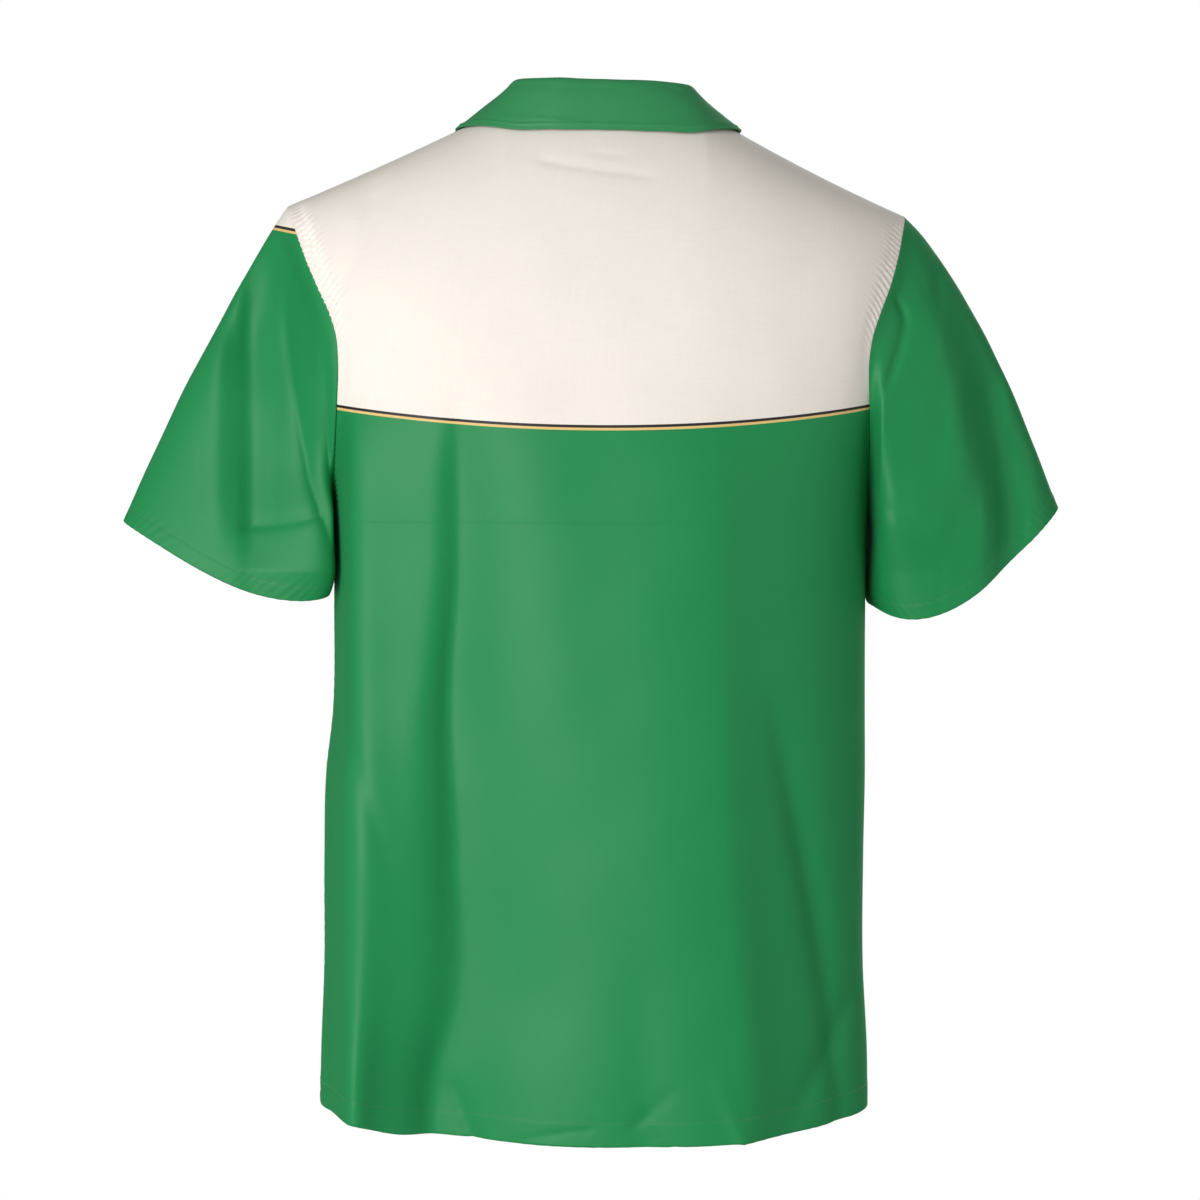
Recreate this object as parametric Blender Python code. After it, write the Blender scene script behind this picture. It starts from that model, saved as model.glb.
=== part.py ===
"""Short-sleeved shirt with an open camp collar, standing out as if worn, with nobody in it.

The frame: +Z is up, the front faces -Y and the wearer's left is +X. The origin is the middle of
the neck opening, level with the neck seam at the centre back.

Sizes and tables are in millimetres, and the meshes are built in metres. Every piece of cloth is a
wall: a grid of points on its outer face, the same grid moved in by the cloth's thickness, and a rim.
"""
import math

import bpy
import numpy as np

MM = 0.001

# Cloth
WALL = 1.3                # shirting with its seams pressed
COLLAR_WALL = 1.9         # two layers of shirting
SEAM_GAP = 0.3            # between two pieces at a seam
MITRE_LIMIT = 1.2         # keeps the corner of two walls from running to a point
TOUCH = 0.01              # two places closer than this are one
SHARP = 50.0              # degrees across an edge that shows as a crease

# Trunk
SECTION_POWER = 2.4       # how square the level sections are, 2 is an ellipse
SECTION_RATIO = 0.58      # their depth to their half width, where the columns are spaced
UNDERARM = -290.0         # height of the underarm point
LAP = 17.0                # how far each front passes the centre line
LAP_LIFT = 2.1            # how far the upper front stands off the lower one
LAP_SLOPE = 26.0          # over this distance beside the lap it comes back down
VENT_TOP = -651.0         # the side seams open below this
VENT_SPREAD = 2.4         # how far each side edge draws back at the hem
VENT_OPENING = 60.0       # over this distance below the vent's top
BACK_HEM = -738.0         # height of the hem at the centre, and how much higher it is at the sides
BACK_HEM_RISE = 9.0
FRONT_HEM = -734.0
FRONT_HEM_RISE = 10.0

# Shoulder and neck
NECK_HALF = 72.0          # half width of the neck at the shoulder seams
NECK_POINT = 9.5          # height of the shoulder seams where they meet the collar
NECK_RISE = 12.0          # how far the shoulder ridge would rise from there to the centre
BREAK = -128.0            # height at which the lapels start to turn
ROLL_POWER = 0.75         # how straight the front neck edge runs, 1 is straight
LEFT_FALL = 0.498         # slope of each shoulder beside the neck
RIGHT_FALL = 0.590
LEFT_EASE = 0.00027       # how the slope eases further out, per millimetre
RIGHT_EASE = 0.00053
ARCH_BASE = -170.0        # the trunk starts to close towards the ridge here
ARCH_POWER = 2.2

# Grids
NECK_COLUMNS = 6          # from the centre back to the shoulder seam
LAPEL_COLUMNS = 8         # from the break of the lapel to the shoulder seam
GORGE_COLUMNS = 3         # of those, the ones that the collar is sewn to
SHOULDER_COLUMNS = 6
LOWER_ROWS = 13
UPPER_ROWS = 11
SLEEVE_ROWS = 8
ANGLE_STEPS = 800         # for measuring the length of a section

# Level sections of the trunk, from the hem up
RING_COLUMNS = ("height", "half_width", "back_depth", "front_depth", "centre")
RINGS = (
    (-745.0, 204.5, 110.0, 104.0, 4.2),
    (-690.0, 203.8, 112.0, 106.0, 4.1),
    (-620.0, 200.6, 114.0, 108.0, 4.5),
    (-540.0, 200.4, 116.0, 110.0, 4.3),
    (-478.0, 200.0, 117.0, 112.0, 3.0),
    (-434.0, 197.3, 117.0, 113.0, 0.6),
    (-360.0, 196.6, 117.0, 115.0, 0.0),
    (UNDERARM, 197.5, 117.0, 116.0, 0.0),
    (-250.0, 203.0, 116.0, 116.0, 0.0),
    (-190.0, 217.0, 114.0, 114.0, 0.0),
    (-100.0, 240.0, 110.0, 110.0, 0.0),
    (0.0, 262.0, 104.0, 104.0, 0.0),
    (40.0, 268.0, 100.0, 100.0, 0.0),
)

# Armhole edge of the panels, seen from behind
ARMHOLE_COLUMNS = ("height", "left", "right")
ARMHOLE = (
    (UNDERARM, 197.5, 197.5),
    (-240.0, 195.3, 194.6),
    (-200.0, 193.6, 191.8),
    (-175.0, 192.9, 190.8),
    (-157.0, 194.2, 193.4),
    (-140.0, 199.0, 199.4),
    (-122.0, 207.2, 207.0),
    (-100.0, 216.4, 214.5),
    (-80.0, 223.5, 220.5),
    (-69.0, 227.4, 224.3),
    (-61.0, 229.0, 224.5),
    (-50.0, 229.0, 224.5),
    (40.0, 229.0, 224.5),
)

# Folds of the panels: a trough where the depth is negative, a swell where it is positive
FOLD_COLUMNS = ("panel", "x0", "z0", "x1", "z1", "bow", "width0", "width1", "depth0", "depth1")
FOLDS = (
    ("back", 110.0, -230.0, 128.0, -760.0, -10.0, 15.0, 26.0, -5.0, -10.0),
    ("back", 62.0, -300.0, 60.0, -760.0, 0.0, 26.0, 34.0, 1.5, 4.0),
    ("back", 160.0, -330.0, 168.0, -760.0, 0.0, 16.0, 22.0, 2.0, 4.0),
    ("back", 192.0, -430.0, 158.0, -545.0, 0.0, 10.0, 14.0, -3.0, -2.0),
    ("back", -120.0, -440.0, -156.0, -640.0, -6.0, 20.0, 16.0, -3.0, -5.0),
    ("back", -190.0, -640.0, -144.0, -715.0, 0.0, 14.0, 18.0, -4.0, -4.0),
    ("back", -20.0, -520.0, -26.0, -760.0, 0.0, 24.0, 24.0, -1.5, -4.0),
    ("front_left", 105.0, -240.0, 118.0, -760.0, 8.0, 16.0, 26.0, -4.0, -9.0),
    ("front_left", 170.0, -420.0, 160.0, -760.0, 0.0, 14.0, 20.0, 2.0, 4.0),
    ("front_right", -96.0, -220.0, -122.0, -760.0, 6.0, 16.0, 24.0, -4.0, -8.0),
    ("front_right", -165.0, -520.0, -150.0, -760.0, 0.0, 14.0, 20.0, 2.0, 4.0),
)
FOLD_FADE = 26.0          # folds die away over this distance from a side seam
TOP_FADE = 78.0           # and over this one from a shoulder
FOLD_START = 0.18         # part of a fold's length over which it deepens
FOLD_END = 1.5            # how far it runs on past its end, as a part of its width

# Sleeve hems: the middle of the opening, its half sizes, the fall of its outer corner to its inner
# one, how far its back and front edges hang below the middle, and the way the sleeve points there
SLEEVE_COLUMNS = ("hand", "x", "y", "z", "half_width", "half_depth", "fall", "back_dip",
                  "front_dip", "way_x", "way_y", "way_z", "follow")
SLEEVES = (
    (1, 275.0, -4.0, -318.0, 80.3, 46.0, 0.342, 17.0, 3.0, 0.42, -0.06, -0.91, 0.30),
    (-1, -271.5, -4.0, -319.5, 80.0, 46.0, 0.495, 27.0, 3.0, -0.38, -0.06, -0.92, 0.60),
)
SLEEVE_LEAVE = 0.85       # length of the curve's handle at the armhole, as a part of the run
SLEEVE_ARRIVE = 0.75      # and at the hem
UNDERARM_WAY = (0.36, 0.0, -0.93)
UPPER_SIDE = 0.4          # the sleeve leaves the underarm that way, and above this height does not
HEM_SKEW = 0.5            # how much more the hem dips on its inner half

# Folds of the sleeves: around is 0 at the underarm, 0.5 on top, rising by way of the back
SLEEVE_FOLD_COLUMNS = ("hand", "around0", "down0", "around1", "down1", "width", "depth")
SLEEVE_FOLDS = (
    (1, 0.40, 0.10, 0.22, 1.05, 13.0, -6.0),
    (1, 0.30, 0.20, 0.10, 1.05, 16.0, 3.0),
    (1, 0.62, 0.15, 0.80, 1.05, 15.0, -5.0),
    (-1, 0.42, 0.08, 0.34, 1.05, 12.0, -5.0),
    (-1, 0.30, 0.20, 0.16, 1.05, 14.0, -4.0),
    (-1, 0.64, 0.15, 0.78, 1.05, 15.0, -5.0),
)
AROUND_LENGTH = 430.0     # once round a sleeve
DOWN_LENGTH = 240.0       # cap to hem
SLEEVE_FOLD_START = 0.3
SLEEVE_FADE = 0.25        # part of the sleeve below the armhole where its folds begin

# Collar, from the centre back to the gorge on each side: how far the crest of its roll stands
# above the neck seam and leans in over it, where its outer edge lies on the trunk, and how
# round the roll is
COLLAR_COLUMNS = ("part", "stand", "lean", "edge_left", "edge_right", "edge_y", "edge_z", "turn")
COLLAR = (
    (0.00, 27.5, 1.0, 0.0, 0.0, 66.0, -4.8, 5.0),
    (0.20, 27.4, 2.0, 38.0, 38.0, 63.0, -6.2, 5.0),
    (0.40, 24.8, 7.0, 78.0, 75.0, 49.0, -8.5, 5.0),
    (0.55, 17.0, 11.5, 106.0, 101.5, 12.0, -8.0, 3.5),
    (0.70, 14.0, 7.0, 107.0, 104.0, -36.0, -16.0, 4.0),
    (0.85, 8.0, 2.5, 105.0, 103.0, -58.0, -31.0, 4.0),
    (1.00, 0.0, 0.0, 99.0, 99.0, -70.0, -48.0, 2.4),
)
CORNER_PART = 0.55        # where the shoulder seams meet the collar
GORGE_PART = 0.8          # the front edge's dip begins here
FLAT_PART = 0.6           # the roll turns flat from here on
COLLAR_LIFT = 2.7         # from the trunk to the fall's outer face
COLLAR_SECTION = (0.0, 0.3, 0.6, 0.85, 1.0, 1.12, 1.3, 1.5, 1.75, 2.0)
DOUBLED = 0.6             # above here, from 0 at the seam to 1 at the crest, it has both layers
RISE_HANDLE = 0.55        # lengths of the handles of its curves
FALL_HANDLE = 20.0
INNER_TURN = 0.7          # how round the crest's inner side is to its outer one
COLLAR_TILT = 0.04        # the edge lies a little higher on the left, per millimetre across
FALL_START = 1.3          # from here to the edge it is kept off the trunk
NOTCH = 9.0               # how far the collar's front edge dips to the lapel before its point

# Lapels: outer edge of the facing against the front, from the gorge to the break
LAPEL_TABLE = ("part", "edge_x", "edge_z")
LAPELS = (
    (0.00, 96.0, -68.0),
    (0.14, 93.0, -79.0),
    (0.45, 68.0, -107.0),
    (0.75, 32.0, -123.0),
    (1.00, -9.0, -129.0),
)
LAPEL_ROLL = 1.9          # radius of the turn on its inner side
LAPEL_LIFT = 1.5          # between the front and the lapel's edge
LAPEL_ROWS = 6
LAPEL_STEP = 1.0          # between the collar's end and the facing's, along the roll
RIGHT_LAPEL_END = 2       # columns short of the break at which the lower lapel ends
RIGHT_LAPEL_OUT = 6.0     # its edge meets the roll this far out and down
RIGHT_LAPEL_DROP = 4.0
LAPEL_TURN = (45, 90, 135)
LAPEL_SETTLE = 0.8        # part of its width over which it comes down on the front

# Buttons
BUTTON_HEIGHTS = (-146.0, -262.0, -378.0, -494.0, -610.0)
BUTTON_RADIUS = 5.8
BUTTON_THICKNESS = 2.4
BUTTON_REST = 0.4         # between a button and the cloth, where its thread is
BUTTON_HOLE_RADIUS = 0.85
BUTTON_HOLE_SPREAD = 1.55
BUTTON_EDGE = 0.5
BUTTON_SIDES = 24
HOLE_SIDES = 8

FINISHES = {
    "back": ((0.022, 0.24, 0.080), 0.55),
    "front_left": ((0.022, 0.24, 0.080), 0.55),
    "front_right": ((0.022, 0.24, 0.080), 0.55),
    "sleeve_left": ((0.022, 0.24, 0.080), 0.55),
    "sleeve_right": ((0.022, 0.24, 0.080), 0.55),
    "collar": ((0.022, 0.24, 0.080), 0.55),
    "facing_left": ((0.022, 0.24, 0.080), 0.55),
    "facing_right": ((0.022, 0.24, 0.080), 0.55),
    "button": ((0.05, 0.20, 0.09), 0.30),
}


def column(table, names, name):
    """One named column of a table, as an array."""
    return np.array([row[names.index(name)] for row in table], dtype=float)


def smooth_curve(at, knots, values):
    """Cubic curve through the knots, its slope at each the mean of the two beside it."""
    slopes = np.gradient(values, knots)
    place = np.clip(np.searchsorted(knots, at) - 1, 0, len(knots) - 2)
    width = knots[place + 1] - knots[place]
    t = (at - knots[place]) / width
    low = (1 + 2 * t) * (1 - t) ** 2 * values[place] + t * (1 - t) ** 2 * width * slopes[place]
    high = t * t * (3 - 2 * t) * values[place + 1] + t * t * (t - 1) * width * slopes[place + 1]
    return low + high


def ease(at, start, end):
    """Smooth step from 0 at start to 1 at end."""
    t = np.clip((at - start) / (end - start), 0.0, 1.0)
    return t * t * (3 - 2 * t)


def unit(vectors):
    """The same directions at length one."""
    length = np.linalg.norm(vectors, axis=-1, keepdims=True)
    return vectors / np.maximum(length, 1e-9)


def ring_value(name, z):
    """A column of the trunk's sections at height z."""
    return smooth_curve(z, column(RINGS, RING_COLUMNS, "height"), column(RINGS, RING_COLUMNS, name))


def armhole_half(z, hand):
    """Half width of the panels at the armhole."""
    heights = column(ARMHOLE, ARMHOLE_COLUMNS, "height")
    side = "left" if hand > 0 else "right"
    return smooth_curve(z, heights, column(ARMHOLE, ARMHOLE_COLUMNS, side))


def ridge_height(x):
    """Height of the shoulder ridge, and of the line that carries it on across the neck."""
    out = np.abs(x) - NECK_HALF
    fall = np.where(x > 0, LEFT_FALL, RIGHT_FALL)
    ease_off = np.where(x > 0, LEFT_EASE, RIGHT_EASE)
    shoulder = NECK_POINT - fall * out + ease_off * out ** 2
    neck = NECK_POINT + NECK_RISE * (1 - (x / NECK_HALF) ** 2)
    return np.where(out > 0, shoulder, neck)


def section_depth(x, z, face):
    """Distance of the level section from the ridge plane, before the shoulders close it."""
    full = ring_value("back_depth" if face > 0 else "front_depth", z)
    across = np.clip(np.abs(x - ring_value("centre", z)) / ring_value("half_width", z), 0.0, 1.0)
    return full * (1 - across ** SECTION_POWER) ** (1 / SECTION_POWER)


def trunk_y(x, z, face):
    """Depth of the trunk's outer face; face is 1 for the back and -1 for the front."""
    rise = np.clip((z - ARCH_BASE) / (ridge_height(x) - ARCH_BASE), 0.0, 1.0)
    arch = (1 - rise ** ARCH_POWER) ** (1 / ARCH_POWER)
    return face * section_depth(x, z, face) * arch


def set_on_trunk(points, clearance, only_outward):
    """Move points away from the arch's middle until they stand the clearance off the trunk."""
    x = points[..., 0]
    y = points[..., 1]
    z = points[..., 2]
    depth = np.where(y > 0, section_depth(x, z, 1), section_depth(x, z, -1))
    rise = np.maximum(z - ARCH_BASE, 0.0) / (ridge_height(x) - ARCH_BASE)
    reach = ((np.abs(y) / depth) ** ARCH_POWER + rise ** ARCH_POWER) ** (1 / ARCH_POWER)
    distance = np.hypot(y, z - ARCH_BASE)
    factor = 1 / reach + clearance / distance
    if only_outward:
        factor = np.maximum(factor, 1.0)
    moved = points.copy()
    moved[..., 1] = y * factor
    moved[..., 2] = np.where(z > ARCH_BASE, ARCH_BASE + (z - ARCH_BASE) * factor, z)
    return moved


def section_angles(inner, count):
    """Angles of a level section at equal steps of length, from the inner edge to the side."""
    start = math.asin(math.copysign(abs(inner) ** (SECTION_POWER / 2), inner))
    angle = np.linspace(start, math.pi / 2, ANGLE_STEPS)
    across = np.sign(angle) * np.abs(np.sin(angle)) ** (2 / SECTION_POWER)
    deep = SECTION_RATIO * np.abs(np.cos(angle)) ** (2 / SECTION_POWER)
    length = np.concatenate([[0.0], np.cumsum(np.hypot(np.diff(across), np.diff(deep)))])
    return np.interp(np.linspace(0.0, length[-1], count), length, angle)


def panel_form(hand, face, inner, neck_columns):
    """Grid of one half of the trunk, hem to top, from its inner edge to its side.

    hand is 1 for the wearer's left, and inner is the inner edge's place, 0 or short of the centre.
    """
    columns = neck_columns + SHOULDER_COLUMNS + 1
    half = armhole_half(UNDERARM, hand)
    angle = section_angles(inner / half, columns)
    across = np.sign(angle) * np.abs(np.sin(angle)) ** (2 / SECTION_POWER)

    along = np.linspace(0.0, 1.0, neck_columns + 1)
    if face > 0:
        neck_x = NECK_HALF * np.sin(along * math.pi / 2)
        neck_z = ridge_height(neck_x) - (NECK_POINT + NECK_RISE) * np.cos(along * math.pi / 2)
        hem = BACK_HEM + BACK_HEM_RISE * across ** 2
    else:
        neck_x = NECK_HALF - (NECK_HALF - inner) * (1 - along) ** (1 / ROLL_POWER)
        neck_z = NECK_POINT + (BREAK - NECK_POINT) * (1 - along)
        hem = FRONT_HEM + FRONT_HEM_RISE * across ** 2
    tip = armhole_half(0.0, hand)
    shoulder_x = np.linspace(NECK_HALF, tip, SHOULDER_COLUMNS + 1)
    top_x = np.concatenate([neck_x, shoulder_x[1:]])
    top_z = np.concatenate([neck_z, ridge_height(hand * shoulder_x[1:])])

    down = np.linspace(0.0, 1.0, LOWER_ROWS + 1)[:-1, None]
    low_z = hem + down * (UNDERARM - hem)
    low_x = ring_value("half_width", low_z) * across + hand * ring_value("centre", low_z)

    step = np.linspace(0.0, 1.0, UPPER_ROWS + 1)[:, None]
    climb = 0.5 - 0.5 * np.cos(math.pi * step)
    high_z = UNDERARM + climb * (top_z - UNDERARM)
    side = armhole_half(high_z, hand)
    low_part = (half * across - inner) / (half - inner)
    top_part = (top_x - inner) / (tip - inner)
    narrowing = 1 + ((side - inner) / (tip - inner) - 1) * top_part ** 4
    turn = ease(step, 0.0, 1.0)
    high_x = (inner + (1 - turn) * (side - inner) * low_part
              + turn * (tip - inner) * top_part * narrowing)

    x = hand * np.vstack([low_x, high_x])
    z = np.vstack([low_z, high_z])
    grid = np.stack([x, trunk_y(x, z, face), z], axis=-1)
    ridge = np.stack([hand * shoulder_x, 0 * shoulder_x, ridge_height(hand * shoulder_x)], axis=-1)
    grid[-1, neck_columns:] = ridge
    return grid


def normals_of(grid, closed=False):
    """Unit normals of a grid by differences; closed joins its last column to its first."""
    if closed:
        wide = np.concatenate([grid[:, -1:], grid, grid[:, :1]], axis=1)
        across = np.gradient(wide, axis=1)[:, 1:-1]
    else:
        across = np.gradient(grid, axis=1)
    return unit(np.cross(across, np.gradient(grid, axis=0)))


def fold_push(panel, x, z):
    """How far the folds of a panel move its points out.

    Each is a bell across its line, which is bowed aside in the middle, and dies away at both ends.
    """
    push = np.zeros_like(x)
    for name, x0, z0, x1, z1, bow, width0, width1, depth0, depth1 in FOLDS:
        if name != panel:
            continue
        length = math.hypot(x1 - x0, z1 - z0)
        way_x = (x1 - x0) / length
        way_z = (z1 - z0) / length
        run = ((x - x0) * way_x + (z - z0) * way_z) / length
        part = np.clip(run, 0.0, 1.0)
        aside = (x - x0) * way_z - (z - z0) * way_x - bow * 4 * part * (1 - part)
        width = width0 + (width1 - width0) * part
        depth = depth0 + (depth1 - depth0) * part
        past = (run - part) * length / (FOLD_END * width)
        start = ease(part, 0.0, FOLD_START)
        push += depth * start * np.exp(-(aside / width) ** 2 - past ** 2)
    return push


def panel_fade(grid, side_columns, inner_free):
    """1 in the middle of a panel, 0 at its side edges, at its top and in the fronts' lap."""
    x = grid[..., 0]
    z = grid[..., 2]
    fade = ease(z.max(axis=0) - z, 0.0, TOP_FADE)
    for index in side_columns:
        fade = fade * ease(np.abs(x - x[:, index][:, None]), 0.0, FOLD_FADE)
    if not inner_free:
        return fade
    return fade * ease(np.abs(x), LAP, LAP + FOLD_FADE)


def mesh_object(name, outer, inward, closed=False):
    """A wall of cloth as a closed mesh: the outer grid, the grid moved in, and the rims."""
    rows, columns = outer.shape[:2]
    points = np.concatenate([outer.reshape(-1, 3), (outer + inward).reshape(-1, 3)])
    number = np.arange(rows * columns).reshape(rows, columns)
    if closed:
        number = np.concatenate([number, number[:, :1]], axis=1)
    a = number[:-1, :-1]
    b = number[:-1, 1:]
    c = number[1:, 1:]
    d = number[1:, :-1]
    skin = np.stack([a, b, c, d], axis=-1).reshape(-1, 4)
    under = skin[:, ::-1] + rows * columns
    rims = [number[0, ::-1], number[-1, :]]
    if not closed:
        rims += [number[:, 0], number[::-1, -1]]
    strips = []
    for rim in rims:
        start = rim[:-1]
        end = rim[1:]
        strips.append(np.stack([start, end, end + rows * columns, start + rows * columns], axis=-1))
    quads = np.concatenate([skin, under] + strips)
    p = points[quads]
    volume = np.einsum("ij,ij->i", p[:, 0], np.cross(p[:, 1], p[:, 2])).sum()
    volume += np.einsum("ij,ij->i", p[:, 0], np.cross(p[:, 2], p[:, 3])).sum()
    if volume < 0:
        quads = quads[:, ::-1]
    mesh = bpy.data.meshes.new(name)
    mesh.from_pydata((points * MM).tolist(), [], quads.tolist())
    mesh.shade_smooth()
    mesh.set_sharp_from_angle(angle=math.radians(SHARP))
    thing = bpy.data.objects.new(name, mesh)
    bpy.context.collection.objects.link(thing)
    return thing


def mitre(first, second, wall):
    """Inward vector shared by two pieces that meet along an edge."""
    both = first + second
    spread = 1 + np.sum(first * second, axis=-1, keepdims=True)
    return -wall * both / np.maximum(spread, MITRE_LIMIT)


def finish(thing, name):
    """Give an object a plain material of its own colour."""
    colour, roughness = FINISHES[name]
    material = bpy.data.materials.new(thing.name + "_cloth")
    material.use_nodes = True
    shader = material.node_tree.nodes["Principled BSDF"]
    shader.inputs["Base Color"].default_value = (*colour, 1.0)
    shader.inputs["Roughness"].default_value = roughness
    shader.inputs["Metallic"].default_value = 0.0
    thing.data.materials.append(material)


def seam_pull(grid, amount):
    """Draw the four edges' first points back into the grid: hem, top, first and last column."""
    hem, top, first, last = amount
    pulled = grid.copy()
    pulled[0] += hem * unit(grid[1] - grid[0])
    pulled[-1] += top * unit(grid[-2] - grid[-1])
    pulled[:, 0] += first * unit(grid[:, 1] - grid[:, 0])
    pulled[:, -1] += last * unit(grid[:, -2] - grid[:, -1])
    return pulled


def side_draw(z):
    """How far a side edge is drawn back: half the seam's gap, and more down the vent."""
    vent = ease(-z, -VENT_TOP, -VENT_TOP + VENT_OPENING)
    return np.where(z <= UNDERARM + TOUCH, SEAM_GAP / 2 + VENT_SPREAD * vent, 0.0)[:, None]


def shoulder_draw(x):
    """How far a top edge is drawn back: half the seam's gap along the shoulder."""
    return np.where(np.abs(x) >= NECK_HALF - TOUCH, SEAM_GAP / 2, 0.0)[:, None]


def trunk_normals(grid, hand, face):
    """Outward normals of a half panel, made exact where it meets its neighbours."""
    normals = normals_of(grid) * (-hand * face)
    low = grid[:LOWER_ROWS + 1, -1, 2]
    lean = np.gradient(ring_value("half_width", low), low)
    side = np.stack([np.full_like(lean, 1.0 * hand), np.zeros_like(lean), -lean], axis=-1)
    normals[:LOWER_ROWS + 1, -1] = unit(side)
    count = SHOULDER_COLUMNS + 1
    x = grid[-1, -count:, 0]
    slope = np.gradient(ridge_height(x), x)
    ridge = np.stack([-slope, np.zeros_like(slope), np.ones_like(slope)], axis=-1)
    normals[-1, -count:] = unit(ridge)
    return normals


def sleeve_form(row, ring, ring_normals):
    """Loft from the armhole to the hem, each line a cubic curve between its two handles."""
    (hand, x, y, z, half_width, half_depth, fall, back_dip, front_dip,
     way_x, way_y, way_z, follow) = row
    count = len(ring)
    top = UPPER_ROWS
    lengths = np.linalg.norm(np.roll(ring, -1, axis=0) - ring, axis=1)
    run = np.concatenate([[0.0], np.cumsum(lengths)])
    around = np.where(np.arange(count) <= top, 0.5 * run[:-1] / run[top],
                      0.5 + 0.5 * (run[:-1] - run[top]) / (run[-1] - run[top]))
    turn = 2 * math.pi * around
    across = np.array([hand * 1.0, 0.0, fall])
    across = across / np.linalg.norm(across)
    dip = np.where(np.sin(turn) > 0, back_dip, front_dip) * np.sin(turn) ** 2
    dip = dip * (1 + HEM_SKEW * np.cos(turn))
    hem = (np.array([x, y, z]) - half_width * np.cos(turn)[:, None] * across
           + half_depth * np.stack([0 * turn, np.sin(turn), 0 * turn], axis=-1)
           - dip[:, None] * np.array([0.0, 0.0, 1.0]))

    edge = unit(np.roll(ring, -1, axis=0) - np.roll(ring, 1, axis=0))
    leave = unit(np.cross(ring_normals, edge)) * hand
    under = np.array([hand * UNDERARM_WAY[0], UNDERARM_WAY[1], UNDERARM_WAY[2]])
    arrive = unit(np.array([way_x, way_y, way_z]))
    upper = ease(-np.cos(turn), -1.0, UPPER_SIDE)[:, None]
    leave = unit(follow * upper * leave + (1 - follow) * upper * arrive + (1 - upper) * under)
    chord = np.linalg.norm(hem - ring, axis=1)[:, None]

    t = np.linspace(0.0, 1.0, SLEEVE_ROWS + 1)[:, None, None]
    grid = ((1 + 2 * t) * (1 - t) ** 2 * ring + t * (1 - t) ** 2 * SLEEVE_LEAVE * chord * leave
            + t * t * (3 - 2 * t) * hem + t * t * (t - 1) * SLEEVE_ARRIVE * chord * arrive)
    return grid, around, leave


def sleeve_push(hand, around, down):
    """How far the folds of a sleeve move its points out."""
    push = np.zeros(np.broadcast(around, down).shape)
    for fold_hand, around0, down0, around1, down1, width, depth in SLEEVE_FOLDS:
        if fold_hand != hand:
            continue
        way = np.array([(around1 - around0) * AROUND_LENGTH, (down1 - down0) * DOWN_LENGTH])
        length = np.linalg.norm(way)
        way = way / length
        here_x = (around - around0) * AROUND_LENGTH
        here_y = (down - down0) * DOWN_LENGTH
        run = (here_x * way[0] + here_y * way[1]) / length
        part = np.clip(run, 0.0, 1.0)
        aside = here_x * way[1] - here_y * way[0]
        past = (run - part) * length / (FOLD_END * width)
        start = ease(part, 0.0, SLEEVE_FOLD_START)
        push = push + depth * start * np.exp(-(aside / width) ** 2 - past ** 2)
    return push


def build_trunk():
    """Back, fronts and sleeves; returns the fronts' top edges for the collar and facings."""
    forms = {}
    for hand in (1, -1):
        forms["back", hand] = panel_form(hand, 1, 0.0, NECK_COLUMNS)
        forms["front", hand] = panel_form(hand, -1, -LAP, LAPEL_COLUMNS)
    inward = {}
    for (part, hand), grid in forms.items():
        face = 1 if part == "back" else -1
        inward[part, hand] = -WALL * trunk_normals(grid, hand, face)

    for row in SLEEVES:
        hand = row[0]
        first = LOWER_ROWS
        back = forms["back", hand]
        front = forms["front", hand]
        ring = np.concatenate([back[first:, -1], front[first + 1:-1, -1][::-1]])
        back_in = inward["back", hand][first:, -1]
        front_in = inward["front", hand][first + 1:-1, -1][::-1]
        ring_normals = unit(-np.concatenate([back_in, front_in]))
        grid, around, leave = sleeve_form(row, ring, ring_normals)
        sleeve_normals = normals_of(grid, closed=True) * hand
        shared = mitre(ring_normals, sleeve_normals[0], WALL)
        inward["back", hand][first:, -1] = shared[:UPPER_ROWS + 1]
        inward["front", hand][-1, -1] = shared[UPPER_ROWS]
        inward["front", hand][first, -1] = shared[0]
        inward["front", hand][first + 1:-1, -1] = shared[UPPER_ROWS + 1:][::-1]

        down = np.linspace(0.0, 1.0, SLEEVE_ROWS + 1)[:, None]
        push = sleeve_push(hand, around[None, :], down) * ease(down, 0.0, SLEEVE_FADE)
        grid = grid + push[..., None] * sleeve_normals
        sleeve_normals = normals_of(grid, closed=True) * hand
        wall_in = -WALL * sleeve_normals
        wall_in[0] = shared
        edge_way = np.roll(ring, -1, axis=0) - np.roll(ring, 1, axis=0)
        off_edge = unit(np.cross(ring_normals, unit(edge_way))) * hand
        grid[0] += SEAM_GAP * unit(off_edge + leave)
        name = "sleeve_left" if hand > 0 else "sleeve_right"
        finish(mesh_object(name, grid, wall_in, closed=True), name)

    # The back: the right half turned round, then the left half
    back = np.concatenate([forms["back", -1][:, ::-1], forms["back", 1][:, 1:]], axis=1)
    back_in = np.concatenate([inward["back", -1][:, ::-1], inward["back", 1][:, 1:]], axis=1)
    back, back_in = fold_panel("back", back, back_in, (0, -1), False)
    draw = side_draw(back[:, 0, 2])
    top = shoulder_draw(back[-1, :, 0])
    back = seam_pull(back, (0.0, top, draw, draw))
    finish(mesh_object("back", back, back_in), "back")

    edges = {}
    for hand in (1, -1):
        name = "front_left" if hand > 0 else "front_right"
        front, front_in = fold_panel(name, forms["front", hand], inward["front", hand], (-1,), True)
        if hand > 0:
            front[..., 1] -= lap_lift(front[..., 0])
        draw = side_draw(front[:, -1, 2])
        top = shoulder_draw(front[-1, :, 0])
        front = seam_pull(front, (0.0, top, 0.0, draw))
        finish(mesh_object(name, front, front_in), name)
        edges[hand] = front, front_in
    return back, back_in, edges


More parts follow.
